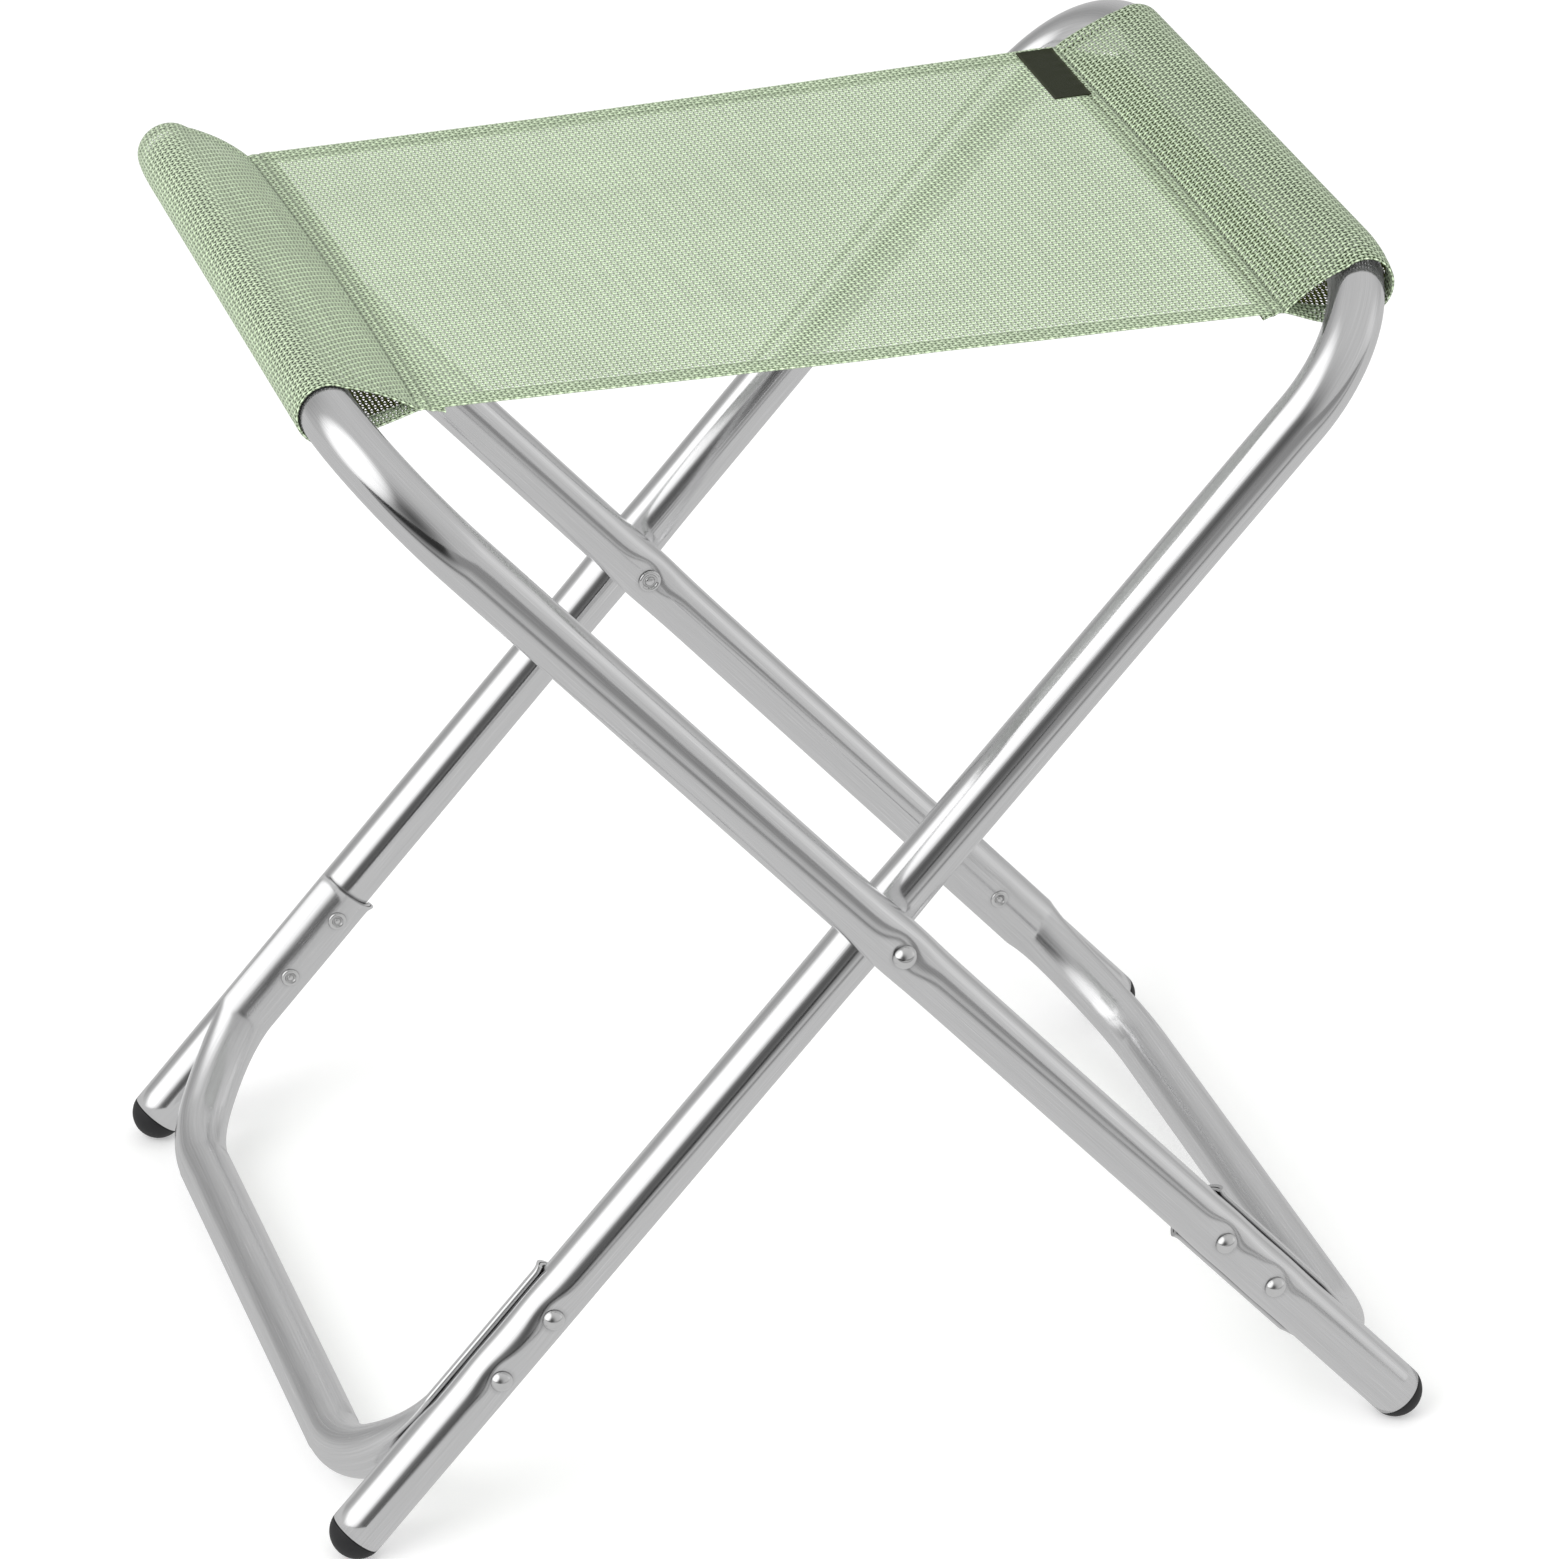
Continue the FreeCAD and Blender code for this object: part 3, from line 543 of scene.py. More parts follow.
def slant(tree):
    """How far the line of sight moves along U and V for each mm of depth, and
    whether the back is seen."""
    geometry = tree.nodes.new("ShaderNodeNewGeometry")
    normal, sight = geometry.outputs["Normal"], geometry.outputs["Incoming"]
    tangent = add_node(tree, "ShaderNodeTangent", {},
                       direction_type="UV_MAP", uv_map="UVMap").outputs[0]
    side = add_node(tree, "ShaderNodeVectorMath", {0: normal, 1: tangent},
                    operation="CROSS_PRODUCT").outputs["Vector"]
    along_u, along_v = dot(tree, sight, tangent), dot(tree, sight, side)
    facing = dot(tree, sight, normal).max(0.16)     # limits the shift at grazing views
    back = Value(tree, geometry.outputs["Backfacing"])
    return -along_u / facing, -along_v / facing, back


def over_under(cell_x, cell_y):
    """-1 and 1 in turn: which yarn lies on top."""
    return checker(cell_x, cell_y) * 2.0 - 1.0


def half_wave(offset):
    return (offset * math.pi).cos()


def weave_cell(x, y):
    """Place within a crossing along U and V, the same in yarn half widths, and which
    yarn is on top."""
    cell_x, cell_y = x / YARN_PITCH, y / YARN_PITCH
    off_x, off_y = from_centre(cell_x), from_centre(cell_y)
    widths = YARN_PITCH / YARN_HALF_WIDTH
    return off_x, off_y, off_x * widths, off_y * widths, over_under(cell_x, cell_y)


def yarns_at_depth(x, y, z):
    """Plain weave z mm below its top: below 1 inside the yarn that runs along U, and
    inside the one that runs along V."""
    off_x, off_y, wide_x, wide_y, sign = weave_cell(x, y)
    centre_u = sign * half_wave(off_x) * CRIMP
    centre_v = sign * half_wave(off_y) * -CRIMP
    height = WEAVE_DEPTH / 2 - z
    high_u, high_v = ((centre - height) * (1 / YARN_HALF_THICK)
                      for centre in (centre_u, centre_v))
    return wide_y * wide_y + high_u * high_u, wide_x * wide_x + high_v * high_v


def yarn_height(x, y):
    """Height of the yarns, 0 in the holes."""
    mean, swing = 0.6, 0.4      # height of a yarn's crown and how far it rises and dips
    off_x, off_y, wide_x, wide_y, sign = weave_cell(x, y)
    along_u = (1.0 - wide_y * wide_y).max(0.0).sqrt() * (sign * half_wave(off_x) * swing + mean)
    along_v = (1.0 - wide_x * wide_x).max(0.0).sqrt() * (sign * half_wave(off_y) * -swing + mean)
    return along_u.max(along_v)


def weave_shade(place, slope, single, double, doubled, right_sleeve):
    """Painted shade where the line of sight meets a yarn, and 1 where it meets any. It is
    laid up from the lowest level, each upper level covering those below."""
    shade = None
    for k in reversed(range(len(WEAVE_LEVELS))):
        share, front_lit_gain, gain, opening = WEAVE_LEVELS[k]
        z = WEAVE_DEPTH * share
        along_u, along_v = yarns_at_depth(place[0] + slope[0] * z, place[1] + slope[1] * z, z)
        nearest = along_u.min(along_v)
        inside = nearest.lt(1.0)
        runs_u = along_u.lt(along_v)
        # painted shading of the yarn's round: brightest at its core
        lit = (single[k] + (double[k] - single[k]) * doubled) * (1.06 - 0.22 * nearest)
        # painted light: yarns that run along U are brighter, as their sides face the front
        # light; the gain of all yarns is painted shade per level
        lit = lit * (runs_u * front_lit_gain + gain)
        # painted shade: the right sleeve's deeper levels are darker
        lit = lit * (1.0 - right_sleeve * opening)
        if shade is None:
            shade, cover = lit * inside, inside
        else:
            shade = shade + (lit - shade) * inside
            cover = cover.max(inside)
    return shade, cover


def cloth_material(name, tint, single, double, shine, sheen):
    """Open mesh of coated yarn; UV is millimetres from the middle of the seat. The
    line of sight is followed down through the levels of the weave, so holes close at
    a slant and open when seen square on. Single and double are the painted shade of
    those levels, top first, in one ply and where a second lies behind it; deeper
    levels are drawn darker."""
    material, tree, shader, output = principled(name)
    uv = uv_of(tree)
    slope_x, slope_y, back = slant(tree)
    # the yarns wander a little
    x, y = (coordinate + uv_noise(tree, uv, stretch=(0.06, 0.06), layer=layer).vary(by=0.4)
            for coordinate, layer in zip(uv, (0.0, 9.0)))
    from_mid_x, from_mid_y = uv[0].abs(), uv[1].abs()
    # where a second ply lies behind the first, which changes the weave's painted shade: hems,
    # seam laps and sleeves
    hem = from_mid_y.ramp(start=HALF - HEM - 0.8, end=HALF - HEM + 0.4)
    lap = from_mid_x.ramp(start=SEAM - LAP - 0.6, end=SEAM - LAP + 0.6)
    # painted shade: the right sleeve is stretched harder, its mesh stands more open, and its
    # deeper levels are drawn darker
    right_sleeve = uv[0].ramp(start=SEAM + 0.5, end=SEAM + 4.0)
    shade, cover = weave_shade((x, y), (slope_x, slope_y), single, double,
                               hem.max(lap), right_sleeve)
    # painted light and shade: crossings alternate in brightness, a little more on the sleeves
    crossing = over_under(x / YARN_PITCH, y / YARN_PITCH)
    crossing = crossing * half_wave(from_centre(x / YARN_PITCH))
    crossing = crossing * half_wave(from_centre(y / YARN_PITCH))
    contrast = 0.21 + 0.04 * from_mid_x.ramp(start=SEAM, end=SEAM + 3.0)
    shade = shade * (1.0 + crossing * contrast)
    # broad clouds, and single threads that differ along both directions
    clouds = uv_noise(tree, uv, stretch=(0.012, 0.012), layer=2.0, detail=3.0)
    threads_u = uv_noise(tree, uv, stretch=(0.012, 0.54), layer=4.0, detail=1.0)
    threads_v = uv_noise(tree, uv, stretch=(0.54, 0.012), layer=5.0, detail=1.0)
    level = shade * (1.0 + clouds.vary(by=0.16) + threads_u.vary(by=0.26)
                     + threads_v.vary(by=0.26))
    # painted shade in the narrow grooves where rows of stitches pull the cloth down: place,
    # width, darkening
    for coordinate, row, width, amount in (
        (from_mid_x, SEAM_ROWS[0], 0.55, 0.60),
        (from_mid_x, SEAM_ROWS[1], 0.50, 0.50),
        (from_mid_y, HEM_ROW, 0.50, 0.30),
    ):
        level = level * (1.0 - ((coordinate - row) / width).bell() * amount)
    level = level * CLOTH_GAIN
    shadow = tuple(part * share for part, share in zip(tint, SHADOW_TINT))
    colour = mix_colour(tree, shade.ramp(start=0.15, end=0.85), shadow, tint)
    colour = scale_colour(tree, colour, level)
    # reflections see a plain grey cloth
    glossy = tree.nodes.new("ShaderNodeLightPath").outputs["Is Glossy Ray"]
    colour = mix_colour(tree, glossy, colour, (0.42, 0.43, 0.42))
    # the relief is read slightly below the top of the weave
    height = yarn_height(x + slope_x * 0.2, y + slope_y * 0.2)
    feed(tree, shader, {
        "Base Color": colour,
        "Roughness": 0.5,
        "Specular IOR Level": shine,
        "Sheen Weight": sheen,
        "Sheen Roughness": 0.5,
        "Normal": bump(tree, height, distance=0.00032, strength=0.85),
    })
    # some light passes through the yarn, and all of it through the holes
    through = add_node(tree, "ShaderNodeBsdfTranslucent",
                       {"Color": scale_colour(tree, colour, 0.9)})
    translucent_share = 0.12
    yarn = add_node(tree, "ShaderNodeMixShader",
                    {0: translucent_share, 1: shader.outputs[0], 2: through.outputs[0]})
    hole = tree.nodes.new("ShaderNodeBsdfTransparent")
    mesh = add_node(tree, "ShaderNodeMixShader",
                    {0: cover * (1.0 - back), 1: hole.outputs[0], 2: yarn.outputs[0]})
    feed(tree, output, {0: mesh.outputs[0]})
    return material


METAL = metal_material("tube_aluminium", base=(0.94, 0.94, 0.945), rough=0.12, streak=0.09,
                       relief=0.35)
BAR_METAL = metal_material("bar_aluminium", base=(0.93, 0.93, 0.935), rough=0.23,
                           streak=0.08, relief=0.22)
CLOTH = cloth_material(
    "seat_cloth", tint=(0.60, 0.72, 0.505),
    single=(1.31, 1.02, 0.50, 0.22, 0.10), double=(1.30, 1.02, 0.62, 0.20, 0.04),
    shine=0.35, sheen=0.06)
# painted shade: the inner face of the sleeves is the same cloth, drawn dark because it lies in
# shade inside the sleeve
SLEEVE_INSIDE_LEVELS = (1.0, 0.75, 0.45, 0.3, 0.2)
SLEEVE_INSIDE_SHADE = cloth_material(
    "sleeve_inside_painted_shade", tint=(0.13, 0.155, 0.035),
    single=SLEEVE_INSIDE_LEVELS, double=SLEEVE_INSIDE_LEVELS, shine=0.08, sheen=0.0)
RIVET = rivet_material()
PLUG = plug_material()
WASHER = washer_material()
THREAD = thread_material()
LABEL = label_material()


# ------------------------------------------------------------------ bent tubes
def u_path(straight, far_x, first_y, last_y, bend, arc_step):
    """Points, tangents and lengths of a U in the XY plane: along the x stations of
    straight at first_y, round the far run at far_x and back at last_y."""
    sign = 1.0 if far_x > straight[0] else -1.0
    centre_x = far_x - sign * bend
    points = [(x, first_y) for x in straight]
    tangents = [(sign, 0.0)] * len(straight)
    steps = int(round(90 / arc_step))
    for i in range(1, steps + 1):
        angle = math.radians(90.0 * i / steps)
        points.append((centre_x + sign * bend * math.sin(angle),
                       first_y + bend * (1 - math.cos(angle))))
        tangents.append((sign * math.cos(angle), math.sin(angle)))
    for y in np.linspace(first_y + bend, last_y - bend, 24)[1:]:
        points.append((far_x, y))
        tangents.append((0.0, 1.0))
    for i in range(1, steps + 1):
        angle = math.radians(90.0 * (1 - i / steps))
        points.append((centre_x + sign * bend * math.sin(angle),
                       last_y - bend * (1 - math.cos(angle))))
        tangents.append((-sign * math.cos(angle), math.sin(angle)))
    for x in straight[-2::-1]:
        points.append((x, last_y))
        tangents.append((-sign, 0.0))
    points = np.array(points)
    return points, np.array(tangents), lengths_along(points)


def stations(start, end, marks, fine, coarse, reach):
    """Station positions from start to end, close together within reach of a mark."""
    places = [start]
    x = start
    direction = 1.0 if end > start else -1.0
    while (end - x) * direction > 1e-6:
        near = min(abs(x - mark) for mark in marks)
        x = x + direction * (fine if near < reach else coarse)
        places.append(x)
    places[-1] = end
    return places


def square_to(tangents):
    """Directions in the XY plane a quarter turn left of the tangents."""
    return np.stack([-tangents[:, 1], tangents[:, 0]], -1)


def ring_at(point, direction, offset, z):
    """Section points at an offset along a direction in the XY plane and height z."""
    return np.stack([point[0] + direction[0] * offset, point[1] + direction[1] * offset, z], -1)


def dent(offset, z, x, outer_leg):
    """Pressed dents round the rivets and the pivot pin. Offset is outward from the
    leg's axis, z square to the frame."""
    angle = np.arctan2(z, offset)
    # face (1 outward, -1 inward), place, depth, half length, half width
    presses = [(1.0, place, 1.25, 7.2, 6.2) for place in RIVET_X]
    presses += [(-1.0, place, 0.85, 6.5, 6.5) for place in RIVET_X]
    presses.append((1.0 if outer_leg else -1.0, 0.0, 1.55, 8.5, 6.6))
    dented = offset
    for side, place, depth, half_length, half_width in presses:
        face = smoothstep((side * np.cos(angle) + 0.15) / 0.55)
        fall = math.exp(-(((x - place) / half_length) ** 2)) * np.exp(-((z / half_width) ** 2))
        dented = dented - side * depth * fall * face
    # place, share by which the tube widens, half length
    widenings = [(place, 0.018, 10.0) for place in RIVET_X] + [(0.0, 0.045, 15.0)]
    for place, amount, half_length in widenings:
        z = z * (1 + amount * math.exp(-(((x - place) / half_length) ** 2)))
    return dented, z


def leg_tube(key):
    """The U of two legs and the crossbar, open at the feet."""
    # From the inside of the open end outwards: U place, radius. The depth into the
    # tube is the size of the U place.
    lips = [(-17.0, 8.8), (0.0, 8.8), (0.0, 9.0), (0.0, 9.78), (0.22, 10.0)]
    bend_flattening = 0.035
    shell = Shell()
    straight = stations(FOOT, LEG_BEND - TOP, (0.0,) + RIVET_X, fine=1.5, coarse=7.0, reach=24.0)
    points, tangents, lengths = u_path(straight, -TOP, OUTER_Y, INNER_Y, LEG_BEND, arc_step=2.5)
    normals = square_to(tangents)
    turn = np.linspace(0, 2 * math.pi, 72, endpoint=False)

    def lip_ring(i, radius, inward):
        return ring_at(points[i] + tangents[i] * inward, normals[i],
                       radius * np.cos(turn), radius * np.sin(turn))

    rings = [lip_ring(0, radius, abs(place)) for place, radius in lips]
    along = [place for place, _ in lips]
    for i in range(1, len(points) - 1):
        offset, z = TUBE_R * np.cos(turn), TUBE_R * np.sin(turn)
        part_x, part_y = np.abs(tangents[i])
        if part_y < 1e-6:
            offset, z = dent(offset, z, points[i, 0], points[i, 1] < 0)
        else:
            bent = part_y * part_x * 2 + part_y * (part_x > 1e-6)
            offset = offset * (1 - bend_flattening * min(1.0, bent))
        rings.append(ring_at(points[i], normals[i], offset, z))
        along.append(lengths[i])
    for place, radius in lips[::-1]:
        rings.append(lip_ring(-1, radius, -abs(place)))
        along.append(lengths[-1] - place)
    around = np.concatenate([turn, [2 * math.pi]]) * TUBE_R
    index, uv = closed_grid(shell, [to_world(key, ring) for ring in rings], along, around)
    shell.quads(index, uv)
    for k, flip in ((0, False), (-1, True)):
        shell.fan(to_world(key, rings[k].mean(0)), index[k][:-1], flip)
    obj = shell.build("leg_tube_" + key, METAL)
    sharpen(obj, 50)
    describe(obj, "leg_frame_" + key, "frame_" + key)


# ------------------------------------------------------------------ floor bar
def polar(radius, angles):
    return np.stack([radius * np.cos(angles), radius * np.sin(angles)], -1)


def crescent_outline(inner_r, outer_r, half_angle):
    """Closed outline of a curved wall with rounded ends, about the leg's axis."""
    middle_r, half_wall = (inner_r + outer_r) / 2, (outer_r - inner_r) / 2
    outer = polar(outer_r, np.radians(np.linspace(-half_angle, half_angle, N_OUTER)))
    sweep = np.linspace(0, math.pi, N_CAP + 2)[1:-1]
    end = math.radians(half_angle)
    # half circle at the +z end, from the outer face to the inner
    cos_end, sin_end = math.cos(end), math.sin(end)
    cap = np.stack([
        middle_r * cos_end + half_wall * (np.cos(sweep) * cos_end - np.sin(sweep) * sin_end),
        middle_r * sin_end + half_wall * (np.cos(sweep) * sin_end + np.sin(sweep) * cos_end),
    ], -1)
    inner = polar(inner_r, np.radians(np.linspace(half_angle, -half_angle, N_INNER)))
    return np.concatenate([outer, cap, inner, cap[::-1] * np.array([1, -1])])


def circle_outline():
    """The round tube, with points that match the crescent's one for one."""
    side, back = 126, 136       # degrees at which outer face and cap end
    angles = np.concatenate([
        np.linspace(-side, side, N_OUTER),
        np.linspace(side, back, N_CAP + 2)[1:-1],
        np.linspace(back, 360 - back, N_INNER),
        np.linspace(360 - back, 360 - side, N_CAP + 2)[1:-1],
    ])
    return polar(TUBE_R, np.radians(angles))


def mouth_growth(distance):
    """Scale of the crescent near its end, which flares off the leg."""
    flare, length = 0.75, 3.2
    return 1 + flare * max(0, 1 - distance / length) ** 2 / 11.0


def bar_section(distance, cos_turn, turn, crescent, circle):
    """Offsets from the bar's path and heights of one section. Distance is from the
    bar's nearer end; turn and cos_turn are the parts of its tangent in y and x."""
    x = SADDLE + distance
    rounding = np.clip((x - CREASE) / FLARE, 0, 1)
    rounding = 1 - (1 - rounding) ** 2.0
    pressed = crescent * mouth_growth(distance)
    for place in RIVET_X:
        fall = math.exp(-(((x - place) / 6.5) ** 2)) * np.exp(-((pressed[:, 1] / 6.5) ** 2))
        pressed[:, 0] -= 0.15 * fall * (pressed[:, 0] > 0)
    # a bent tube flattens a little
    flat = 0.03 * min(1.0, 2 * turn * cos_turn + turn * (cos_turn > 1e-2))
    offset = (pressed[:, 0] - INSET) * (1 - rounding) + circle[:, 0] * (1 - flat) * rounding
    z = pressed[:, 1] * (1 - rounding) + circle[:, 1] * rounding
    if rounding > 0 and cos_turn > 0.3:
        # keep the opening tube clear of the leg
        axis_gap = INSET + BAR_BEND * (1 - cos_turn)
        inside = np.clip(1 - (z / SADDLE_IN) ** 2, 0, None)
        leg = -axis_gap / cos_turn + SADDLE_IN / cos_turn * np.sqrt(inside)
        offset = np.where((inside > 0) & (offset < 0), np.maximum(offset, leg), offset)
    return offset, z


def floor_bar(key):
    shell = Shell()
    straight = stations(SADDLE, REACH - BAR_BEND, RIVET_X + (CREASE,),
                        fine=1.2, coarse=3.0, reach=16.0)
    points, tangents, lengths = u_path(straight, REACH, OUTER_Y + INSET, INNER_Y - INSET,
                                       BAR_BEND, arc_step=1.6)
    inward = square_to(tangents)
    crescent = crescent_outline(SADDLE_IN, SADDLE_OUT, 75.0)
    slit = crescent_outline(SADDLE_IN + SADDLE_WALL, SADDLE_OUT - SADDLE_WALL, 72.0)
    circle = circle_outline()
    rings = []
    for i in range(len(points)):
        distance = min(lengths[i], lengths[-1] - lengths[i])
        turn, cos_turn = abs(tangents[i, 1]), max(1e-3, abs(tangents[i, 0]))
        offset, z = bar_section(distance, cos_turn, turn, crescent, circle)
        rings.append(ring_at(points[i], inward[i], offset, z))

    def slit_ring(i, depth):
        """The thin slit between the two walls at an open end."""
        point = points[i] + tangents[i] * (depth if i == 0 else -depth)
        outline = slit * mouth_growth(depth)
        return ring_at(point, inward[i], outline[:, 0] - INSET, outline[:, 1])

    depths = (9.0, 4.0, 0.0)
    rings = ([slit_ring(0, depth) for depth in depths] + rings
             + [slit_ring(-1, depth) for depth in depths[::-1]])
    along = ([-depth for depth in depths] + list(lengths)
             + [lengths[-1] + depth for depth in depths[::-1]])
    around = np.linspace(0, 2 * math.pi * TUBE_R, len(crescent) + 1)
    index, uv = closed_grid(shell, [to_world(key, ring) for ring in rings], along, around)
    shell.quads(index[::-1], uv[::-1])
    # fans close the bottom of each slit
    for k, flip in ((0, True), (-1, False)):
        shell.fan(to_world(key, rings[k][:N_OUTER].mean(0)), index[k][:-1], flip)
    obj = shell.build("floor_bar_tube_" + key, BAR_METAL)
    sharpen(obj, 42)
    describe(obj, "floor_bar_" + key, "frame_" + key)


# ------------------------------------------------------------------ turned pieces
def turned(name, profile, origin, axis, key, material, segments=48, crisp=40):
    """Revolves (radius, height) points about an axis through origin, in the frame's
    working space. A profile runs from axis to axis, or round a closed section."""
    shell = Shell()
    origin, axis = np.array(origin, float), np.array(axis, float)
    first_side = np.cross(axis, np.array([0.0, 0.0, 1.0]))
    second_side = np.cross(axis, first_side)
    turn = np.linspace(0, 2 * math.pi, segments, endpoint=False)
    circle = np.cos(turn)[:, None] * first_side + np.sin(turn)[:, None] * second_side
    solid = profile[0][0] == 0
    body = profile[1:-1] if solid else profile
    rings = [to_world(key, origin + axis * z + radius * circle) for radius, z in body]
    around = np.concatenate([turn, [2 * math.pi]]) * 4.0
    index, uv = closed_grid(shell, rings, lengths_along(np.array(body)), around)
    if solid:
        shell.quads(index, uv)
        for k, flip in ((0, False), (-1, True)):
            shell.fan(to_world(key, origin + axis * profile[k][1]), index[k][:-1], flip)
    else:
        index = np.concatenate([index, index[:1]], 0)
        uv = np.concatenate([uv, uv[:1] + np.array([2.0, 0.0])], 0)
        shell.quads(index, uv)
    obj = shell.build(name, material)
    turn_normals_out(obj)
    sharpen(obj, crisp)
    return obj


def sphere_radius(radius, rise):
    """Radius of the sphere whose cap has this radius and rise."""
    return (radius * radius + rise * rise) / (2 * rise)


def dome(radius, base, crown, steps=9):
    """Cap from the axis at crown down towards the radius at base, rim left out."""
    sphere = sphere_radius(radius, crown - base)
    edge = math.asin(radius / sphere)
    return [(sphere * math.sin(edge * i / steps),
             crown - sphere * (1 - math.cos(edge * i / steps))) for i in range(steps)]


def rivet_tail(radius, z, boss):
    """Rolled rim on the plain side; z is the metal surface, boss the centre's radius."""
    return [
        (radius - 0.35, z + 0.25), (radius, z - 0.15), (radius + 0.02, z - 0.45),
        (radius - 0.22, z - 0.85), (radius - 0.75, z - 1.05), (radius - 1.2, z - 0.9),
        (radius - 1.5, z - 0.5), (radius - 1.7, z - 0.35), (boss + 0.25, z - 0.38),
        (boss, z - 0.75), (boss * 0.72, z - 0.98), (0.0, z - 1.05),
    ]


def rivet_profile(head, shank, seat, steps, crown, shank_end, tail):
    """Head and shank are radii. Steps are heights above seat of the dome's base, its
    rounded rim, the widest ring, the head's lower edge and the top of the shank."""
    base, rim, widest, edge, neck = (seat + step for step in steps)
    return (dome(head, base, crown)
            + [(head - 0.07, rim), (head, widest), (head - 0.05, edge),
               (shank, neck), (shank, shank_end)]
            + tail)


def bar_rivet(key, tag, level, x, y):
    """Domed head on the leg's outward face, tail on the floor bar's crescent."""
    profile = rivet_profile(
        head=4.0, shank=2.4, seat=TUBE_R - 1.02, steps=(0.3, 0.42, 0.2, -0.25, -0.6),
        crown=TUBE_R + 2.0, shank_end=-(TUBE_R + 1.2),
        tail=rivet_tail(radius=3.5, z=-(SADDLE_OUT - 0.40), boss=1.15))
    ends = "%s_%s_%s" % (key, tag, level)
    outward = (0.0, -1.0 if y < 0 else 1.0, 0.0)
    obj = turned("rivet_" + ends, profile, (x, y, 0.0), outward, key, RIVET)
    describe(obj, "bar_rivet_" + ends, "frame_" + key)


def pivot_pin(key, tag):
    """Pin through the two legs that cross, with a washer between them."""
    face = PIN_TO_LEG + TUBE_R
    pin = rivet_profile(
        head=4.4, shank=3.0, seat=face - 1.35, steps=(0.35, 0.48, 0.22, -0.3, -0.7),
        crown=face + 2.5, shank_end=-(face - 2.4),
        tail=rivet_tail(radius=4.3, z=-(face - 1.32), boss=1.7))
    washer = [(3.07, -0.4), (3.3, -0.64), (6.7, -0.64), (6.95, -0.4),
              (6.95, 0.4), (6.7, 0.64), (3.3, 0.64), (3.07, 0.4)]
    for name, piece, slot, profile, material in (
        ("pivot_pin_", "pivot_rivet_", "rivet", pin, RIVET),
        ("spacer_", "pivot_washer_", "washer", washer, WASHER),
    ):
        obj = turned(name + tag, profile, (0.0, PIN_Y, 0.0), (0.0, -1.0, 0.0), key,
                     material, segments=56)
        describe(obj, piece + tag, "frame_" + key)


def plug(key, tag, y):
    """Stopper in the tube's open end with a domed foot."""
    rise = 9.0
    sphere = sphere_radius(TUBE_R, rise)
    # stem inside the tube, then the rim that covers the tube's end
    profile = [
        (0.0, -15.9), (7.6, -15.9), (8.55, -14.6), (8.62, -9.0), (8.55, -8.6),
        (8.72, -8.2), (8.74, 0.10), (9.4, 0.12), (9.80, 0.18), (9.92, 0.42),
    ]
    for i in range(15):
        angle = math.radians(80.0) * (1 - i / 14.0)
        profile.append((sphere * math.sin(angle), rise - sphere * (1 - math.cos(angle))))
    obj = turned("plug_%s_%s" % (key, tag), profile, (FOOT, y, 0.0), (1.0, 0.0, 0.0), key,
                 PLUG, segments=64, crisp=35)
    describe(obj, "foot_plug_%s_%s" % (key, tag), "frame_" + key)


for key, outer, inner in (("a", "front", "rear"), ("b", "rear", "front")):
    leg_tube(key)
    floor_bar(key)
    for tag, y in ((outer, OUTER_Y), (inner, INNER_Y)):
        plug(key, tag, y)
        for level, x in RIVETS.items():
            bar_rivet(key, tag, level, x, y)
    pivot_pin(key, outer)


# ------------------------------------------------------------------ shape of the seat
def tube_shift(y, side):
    """How far the crossbar's bend has carried the tube down the leg, at depth y.
    side -1: left sleeve on frame a, +1: right sleeve on frame b."""
    frame_y = y if side < 0 else -y
    into_bend = max(0, OUTER_Y + LEG_BEND - frame_y, frame_y - (INNER_Y - LEG_BEND))
    into_bend = min(into_bend, LEG_BEND - 1)
    return LEG_BEND - math.sqrt(LEG_BEND * LEG_BEND - into_bend * into_bend)


def hem_path():
    """Mid-surface of the cloth from the inner end of the front hem to that of the
    rear hem. Columns: y, how far the ply lies below the main cloth, V."""
    hem_end = HALF - HEM
    fold = HALF - SHEET - PLY / 2
    start_v = -(fold + math.pi * PLY / 2 + (fold - hem_end))
    under = [hem_end + step for step in (0, 0.5, 2, 4, 6)] + [fold - 1.0, fold]
    rows = [(-y, PLY, start_v + (y - hem_end)) for y in under]
    fold_v = start_v + (fold - hem_end)
    for i in range(1, 6):
        angle = math.pi * i / 6
        rows.append((-(fold + PLY / 2 * math.sin(angle)), PLY / 2 * (1 + math.cos(angle)),
                     fold_v + PLY / 2 * angle))
    top = [step - fold for step in (0, 1.2, 3, 5, 6.6, 7.6, 8.4, 9.2, 11)]
    top += list(np.linspace(-(fold - 11), 0, 32)[1:])
    rows += [(y, 0.0, y) for y in top]
    return np.array(rows + [(-y, below, -along) for y, below, along in rows[-2::-1]])


HEM_Y, HEM_BELOW, HEM_V = hem_path().T


def from_seam(x):
    """1 at the middle of the seat, falling to 0 at the seams."""
    return np.clip(1 - (x / SEAM) ** 2, 0, 1)


def sag(x, y):
    """Depth of the panel below its flat plane."""
    return 0.7 * from_seam(x) * (1 - 0.25 * (y / HALF) ** 2)


